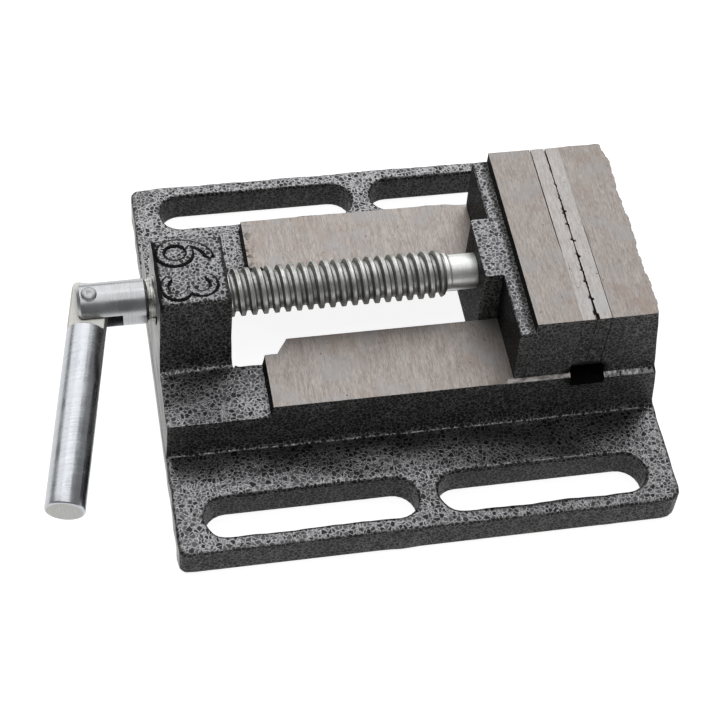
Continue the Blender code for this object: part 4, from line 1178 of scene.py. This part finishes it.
@dataclass
class LeadScrew:
    """The lead screw: rounded trapezoidal thread, plain journal and forked head."""

    palette: Palette
    crest: float = 0.00675
    root: float = 0.00535
    journal: float = 0.0051
    head: float = 0.0063
    head_start: float = -0.0913
    head_end: float = -0.0718
    thread_start: float = -0.0702
    thread_end: float = 0.0140
    run_out: float = 0.0034
    tip: float = 0.0370
    groove: tuple[float, float] = (0.0307, 0.0343)
    groove_radius: float = 0.0032
    fork_slot: float = 0.0052
    fork_depth: float = 0.0121
    pin: float = 0.0023

    def build(self) -> None:
        """Make the bar, its head and the rivet."""
        self.build_bar()
        self.build_head()
        self.build_rivet()

    def thread_radius(self, along: np.ndarray, columns: int) -> np.ndarray:
        """Return the thread's radius for each ring and column.

        The phase is the distance along X less the lead at that angle, in pitches. The radius
        rises from the root to the crest over a flank, holds, falls and holds, by smooth steps,
        and fades into the plain journal over the run-out.
        """
        angle = np.linspace(0.0, 1.0, columns, endpoint=False)
        phase = np.mod((along[:, None] - self.thread_start) / PITCH + angle[None, :], 1.0)
        rise = smooth_step(phase, 0.02, 0.24) - smooth_step(phase, 0.56, 0.78)
        radius = self.root + (self.crest - self.root) * rise
        left = smooth_step(self.thread_end - along, 0.0, self.run_out)[:, None]
        return self.journal + (radius - self.journal) * left

    def build_bar(self) -> None:
        """Make the bar: a short neck in the head, the thread, and the grooved journal."""
        columns = 72
        threaded = np.linspace(self.thread_start, self.thread_end, 620)
        left, right = self.groove
        rest = [left, left, right, right, self.tip - 0.0005, self.tip]
        sizes = np.array([self.journal, self.groove_radius, self.groove_radius, self.journal,
                          self.journal, self.journal - 0.0005])
        along = np.concatenate([[self.head_end - 0.002], threaded, rest])
        radius = self.thread_radius(threaded, columns)
        radius = np.concatenate([np.full((1, columns), radius[0].min()), radius,
                                 np.repeat(sizes[:, None], columns, 1)])
        rings = placed(rings_about_x(along, radius, columns), SCREW_FRAME)
        bar = skin("lead_screw_bar", rings)
        slots = np.where(along[:-1] > self.thread_end - 0.0018, 1,
                         np.where(along[:-1] < self.thread_start + 0.0004, 2, 0))
        slots = np.concatenate([np.repeat(slots, columns), np.repeat((0, 1), columns)])
        bar.polygons.foreach_set("material_index", slots)
        add_piece("lead_screw_bar", bar, self.palette.pick("thread", "neck", "collar"),
                  Body.SPINDLE, Slot.ZINC, "lead_screw")

    def build_head(self) -> None:
        """Make the forked head: a turned block with a slot and rounded edges."""
        profile = rounded_profile([
            (self.head_start, 0.0, 0.0), (self.head_start, self.head - 0.0008, 0.0002),
            (self.head_start + 0.0009, self.head, 0.0003),
            (self.head_end - 0.0009, self.head, 0.0003),
            (self.head_end, self.head - 0.0010, 0.0002), (self.head_end, 0.0, 0.0)])
        turned_block = skin("turned_block", rings_about_x(*profile[1:-1].T, 96))
        low = Vector((self.head_start - 0.004, -self.head * 2.0, -self.fork_slot / 2.0))
        high = Vector((self.head_start + self.fork_depth, self.head * 2.0, self.fork_slot / 2.0))
        bm = bmesh.new()
        bmesh.ops.create_cube(bm, size=1.0)
        bm.transform(Matrix.LocRotScale((low + high) / 2.0, None, high - low))
        cutter_mesh = bpy.data.meshes.new("fork_cutter")
        bm.to_mesh(cutter_mesh)
        bm.free()
        cutter, block = link("fork_cutter", cutter_mesh), link("fork_block", turned_block)
        cut = block.modifiers.new("slot", "BOOLEAN")
        cut.object, cut.solver = cutter, "EXACT"
        edge = block.modifiers.new("edges", "BEVEL")
        edge.width, edge.segments, edge.limit_method = 0.00022, 2, "ANGLE"
        edge.angle_limit = math.radians(40.0)
        made = bpy.data.meshes.new_from_object(
            block.evaluated_get(bpy.context.evaluated_depsgraph_get()))
        for item in (cutter, block):
            bpy.data.objects.remove(item, do_unlink=True)
        made.transform(SCREW_FRAME)
        made.name = "lead_screw_fork"
        made.shade_smooth()
        made.set_sharp_from_angle(angle=math.radians(40.0))
        add_piece("lead_screw_fork", made, self.palette.pick("fork"), Body.SPINDLE, Slot.ZINC)

    def build_rivet(self) -> None:
        """Make the rivet, its ends standing proud as low domes with a dimpled middle."""
        columns, reach = 40, self.head + 0.0005
        dome = np.array([(0.0, -0.00012), (0.20, -0.00008), (0.34, 0.00008), (0.55, 0.00006),
                         (0.76, -0.00008), (0.90, -0.00030), (0.98, -0.00060), (1.0, -0.0010),
                         (1.0, -0.0035)]) * (self.pin, 1.0) + (0.0, reach)
        radius, height = np.concatenate([dome, dome[::-1] * (1.0, -1.0)]).T
        angle = np.linspace(0.0, 2.0 * np.pi, columns, endpoint=False)
        radius = np.maximum(radius, 1e-5)[:, None]
        rings = np.stack([radius * np.cos(angle) + PIVOT_X, radius * np.sin(angle),
                          np.repeat(height[:, None], columns, 1)], -1)
        add_piece("fork_rivet", skin("fork_rivet", placed(rings, SCREW_FRAME)),
                  self.palette.pick("rivet"), Body.SPINDLE, Slot.ZINC, "handle_pin")


@dataclass
class Handle:
    """The handle: a round rod with a flat tang at the rivet."""

    palette: Palette
    swing: float = math.radians(-11.1)
    radius: float = 0.0054
    reach: float = 0.0627
    tang_half: float = 0.0023
    tang_length: float = 0.0083
    tail: float = 0.0060
    tail_corner: float = 0.0020

    def build(self) -> None:
        """Make the rod.

        Each row is y, radius, half thickness and half width. Its ring is a circle about the
        rod's Y axis, with z held within the thickness, which is the tang's along the tang, and
        x within the width, which shrinks along a rounded end at the tail.
        """
        columns, full, tang = 64, self.radius, -self.tang_length
        end = rounded_profile([(-self.reach, 0.0, 0.0), (-self.reach, full, 0.0006),
                               (0.0, full, 0.0)])
        shaft = [(y, full, full, full) for y in np.linspace(-0.060, tang - 0.0004, 24)]
        bend = np.linspace(0.15, 1.0, 8) * math.pi / 2.0
        square = self.tail - self.tail_corner
        table = np.array([
            *((y, r, full, full) for y, r in end[1:-1]), *shaft,
            (tang - 0.0001, full - 0.0003, full, full),
            (tang, full - 0.0003, self.tang_half + 0.0002, full),
            *((y, full, self.tang_half, full) for y in np.linspace(tang + 0.0003, square, 10)),
            *zip(square + self.tail_corner * np.sin(bend), [full] * 8, [self.tang_half] * 8,
                 full - self.tail_corner * (1.0 - np.cos(bend)))])
        y, radius, thick, wide = table.T[:, :, None]
        angle = np.linspace(0.0, 2.0 * np.pi, columns, endpoint=False)
        rings = np.stack([np.clip(radius * np.cos(angle), -wide, wide),
                          np.repeat(y, columns, 1),
                          np.clip(radius * np.sin(angle), -thick, thick)], -1)
        matrix = (SCREW_FRAME @ Matrix.Translation((PIVOT_X, 0.0, 0.0))
                  @ Matrix.Rotation(self.swing, 4, "Z"))
        mesh = skin("handle_rod_looks", placed(rings, matrix))
        slots = np.repeat(np.where(table[:-1, 0] > tang - 0.0003, 1, 0), columns)
        slots = np.concatenate([slots, np.repeat((2, 1), columns)])
        mesh.polygons.foreach_set("material_index", slots)
        add_piece("handle_rod_looks", mesh, self.palette.pick("handle", "tang", "end"),
                  Body.HANDLE, Slot.BRIGHT, "handle_rod")


@dataclass
class Fasteners:
    """The small hidden pieces: plate screws, keeper plate, its screws, washers and the pin."""

    palette: Palette
    edge: float = 0.0002
    zinc: tuple[str, ...] = ("fixed_plate_screw", "moving_plate_screw", "keeper_screw",
                             "keeper_washer")
    black: tuple[str, ...] = ("keeper_plate", "retaining_pin")

    def build(self) -> None:
        """Give each piece a copy with its edges broken."""
        pairs = [(f"{kind}_{number}", "zinc", Slot.ZINC) for kind in self.zinc
                 for number in (1, 2)]
        for node, label, slot in pairs + [(node, "black", Slot.BLACK) for node in self.black]:
            bm = merged_copy(node)
            round_edges(bm, self.edge, 2, lambda edge, x, y, z: edge.is_convex)
            add_piece(f"{node}_looks", finished(bm, f"{node}_looks"), self.palette.pick(label),
                      Body(frame["nodes"][node]["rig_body"]), slot, node)


@dataclass
class Studio:
    """The pale floor, the soft lights and the camera."""

    floor_reach: float = 6.0
    lens: float = 93.01
    distance: float = 0.53125
    azimuth: float = math.radians(-15.266)
    elevation: float = math.radians(53.0275)
    roll: float = math.radians(6.625)
    target: tuple[float, float, float] = (-0.01317, -0.01448, 0.020)
    back_light: float = 1.35
    top_light: float = 1.15
    sky_back: float = 0.30
    sky_front: float = 0.22
    horizon: float = 0.45

    def build(self) -> None:
        """Make the floor, lights, world and camera."""
        self.build_floor()
        self.build_lamps()
        self.build_world()
        self.build_camera()

    def build_floor(self) -> None:
        """Make a wide flat floor."""
        count = 25
        side = np.linspace(-self.floor_reach, self.floor_reach, count)
        x, y = np.meshgrid(side, side, indexing="ij")
        points = np.stack([x, y, np.zeros_like(x)], -1).reshape(-1, 3)
        index = np.arange(count * count).reshape(count, count)
        quads = np.stack([index[:-1, :-1], index[1:, :-1], index[1:, 1:], index[:-1, 1:]],
                         -1).reshape(-1, 4)
        mesh = bpy.data.meshes.new("floor")
        mesh.from_pydata(points.tolist(), [], quads.tolist())
        mesh.materials.append(PaleFloor().material())
        link("floor", mesh)

    def build_lamps(self) -> None:
        """Hang a wide softbox behind the vise and a square one over it, both facing it.

        A lamp's power is its brightness times pi times its area.
        """
        for name, place, wide, tall, level in (
                ("back_softbox", (-0.06, 1.13, 1.00), 3.0, 1.66, self.back_light),
                ("top_softbox", (0.0, 0.02, 1.50), 1.25, 1.25, self.top_light)):
            light = bpy.data.lights.new(name, "AREA")
            light.shape, light.size, light.size_y = "RECTANGLE", wide, tall
            light.energy = level * math.pi * wide * tall
            lamp = link(name, light)
            lamp.location = place
            aim = Vector((0.0, 0.0, 0.02)) - Vector(place)
            lamp.rotation_euler = aim.to_track_quat("-Z", "Y").to_euler()

    def build_world(self) -> None:
        """Light the room: pale at the level of the floor, dimmer above, most so in front."""
        world = bpy.data.worlds.new("studio")
        bpy.context.scene.world = world
        world.use_nodes = True
        tree = world.node_tree
        _, y, z = Field(new_node(tree, "ShaderNodeTexCoord").outputs["Generated"]).parts()
        sky = y.ramp(-0.25, 0.35, self.sky_front, self.sky_back)
        high = z.maths("ABSOLUTE").ramp(0.06, 0.26)
        feed(tree.nodes["Background"], {
            "Color": (1.0, 1.0, 1.0), "Strength": high * (sky - self.horizon) + self.horizon})

    def build_camera(self) -> None:
        """Place the camera by its angles round the target.

        Back is the way from the target to the camera, right is level, up is back x right, and
        right and up are then turned by the roll.
        """
        turn, rise, roll = self.azimuth, self.elevation, self.roll
        back = Vector((math.sin(turn) * math.cos(rise), -math.cos(turn) * math.cos(rise),
                       math.sin(rise)))
        right = Vector((math.cos(turn), math.sin(turn), 0.0))
        up = back.cross(right)
        side = right * math.cos(roll) + up * math.sin(roll)
        top = up * math.cos(roll) - right * math.sin(roll)
        lens = bpy.data.cameras.new("camera")
        lens.lens, lens.sensor_width, lens.sensor_fit = self.lens, 36.0, "HORIZONTAL"
        lens.clip_start, lens.clip_end = 0.01, 20.0
        camera = link("camera", lens)
        place = Vector(self.target) + back * self.distance
        columns = Matrix((side, top, back)).transposed()
        camera.matrix_world = Matrix.Translation(place) @ columns.to_4x4()
        bpy.context.scene.camera = camera


def main() -> None:
    logging.basicConfig(level=logging.INFO, format="%(name)s: %(message)s")
    palette = Palette()
    for assembly in (BaseCasting(palette), SlidingJaw(palette), JawPlates(palette),
                     LeadScrew(palette), Handle(palette), Fasteners(palette)):
        assembly.build()
    Studio().build()
    bpy.context.scene.view_settings.view_transform = "Standard"


if __name__ == "__main__":
    main()
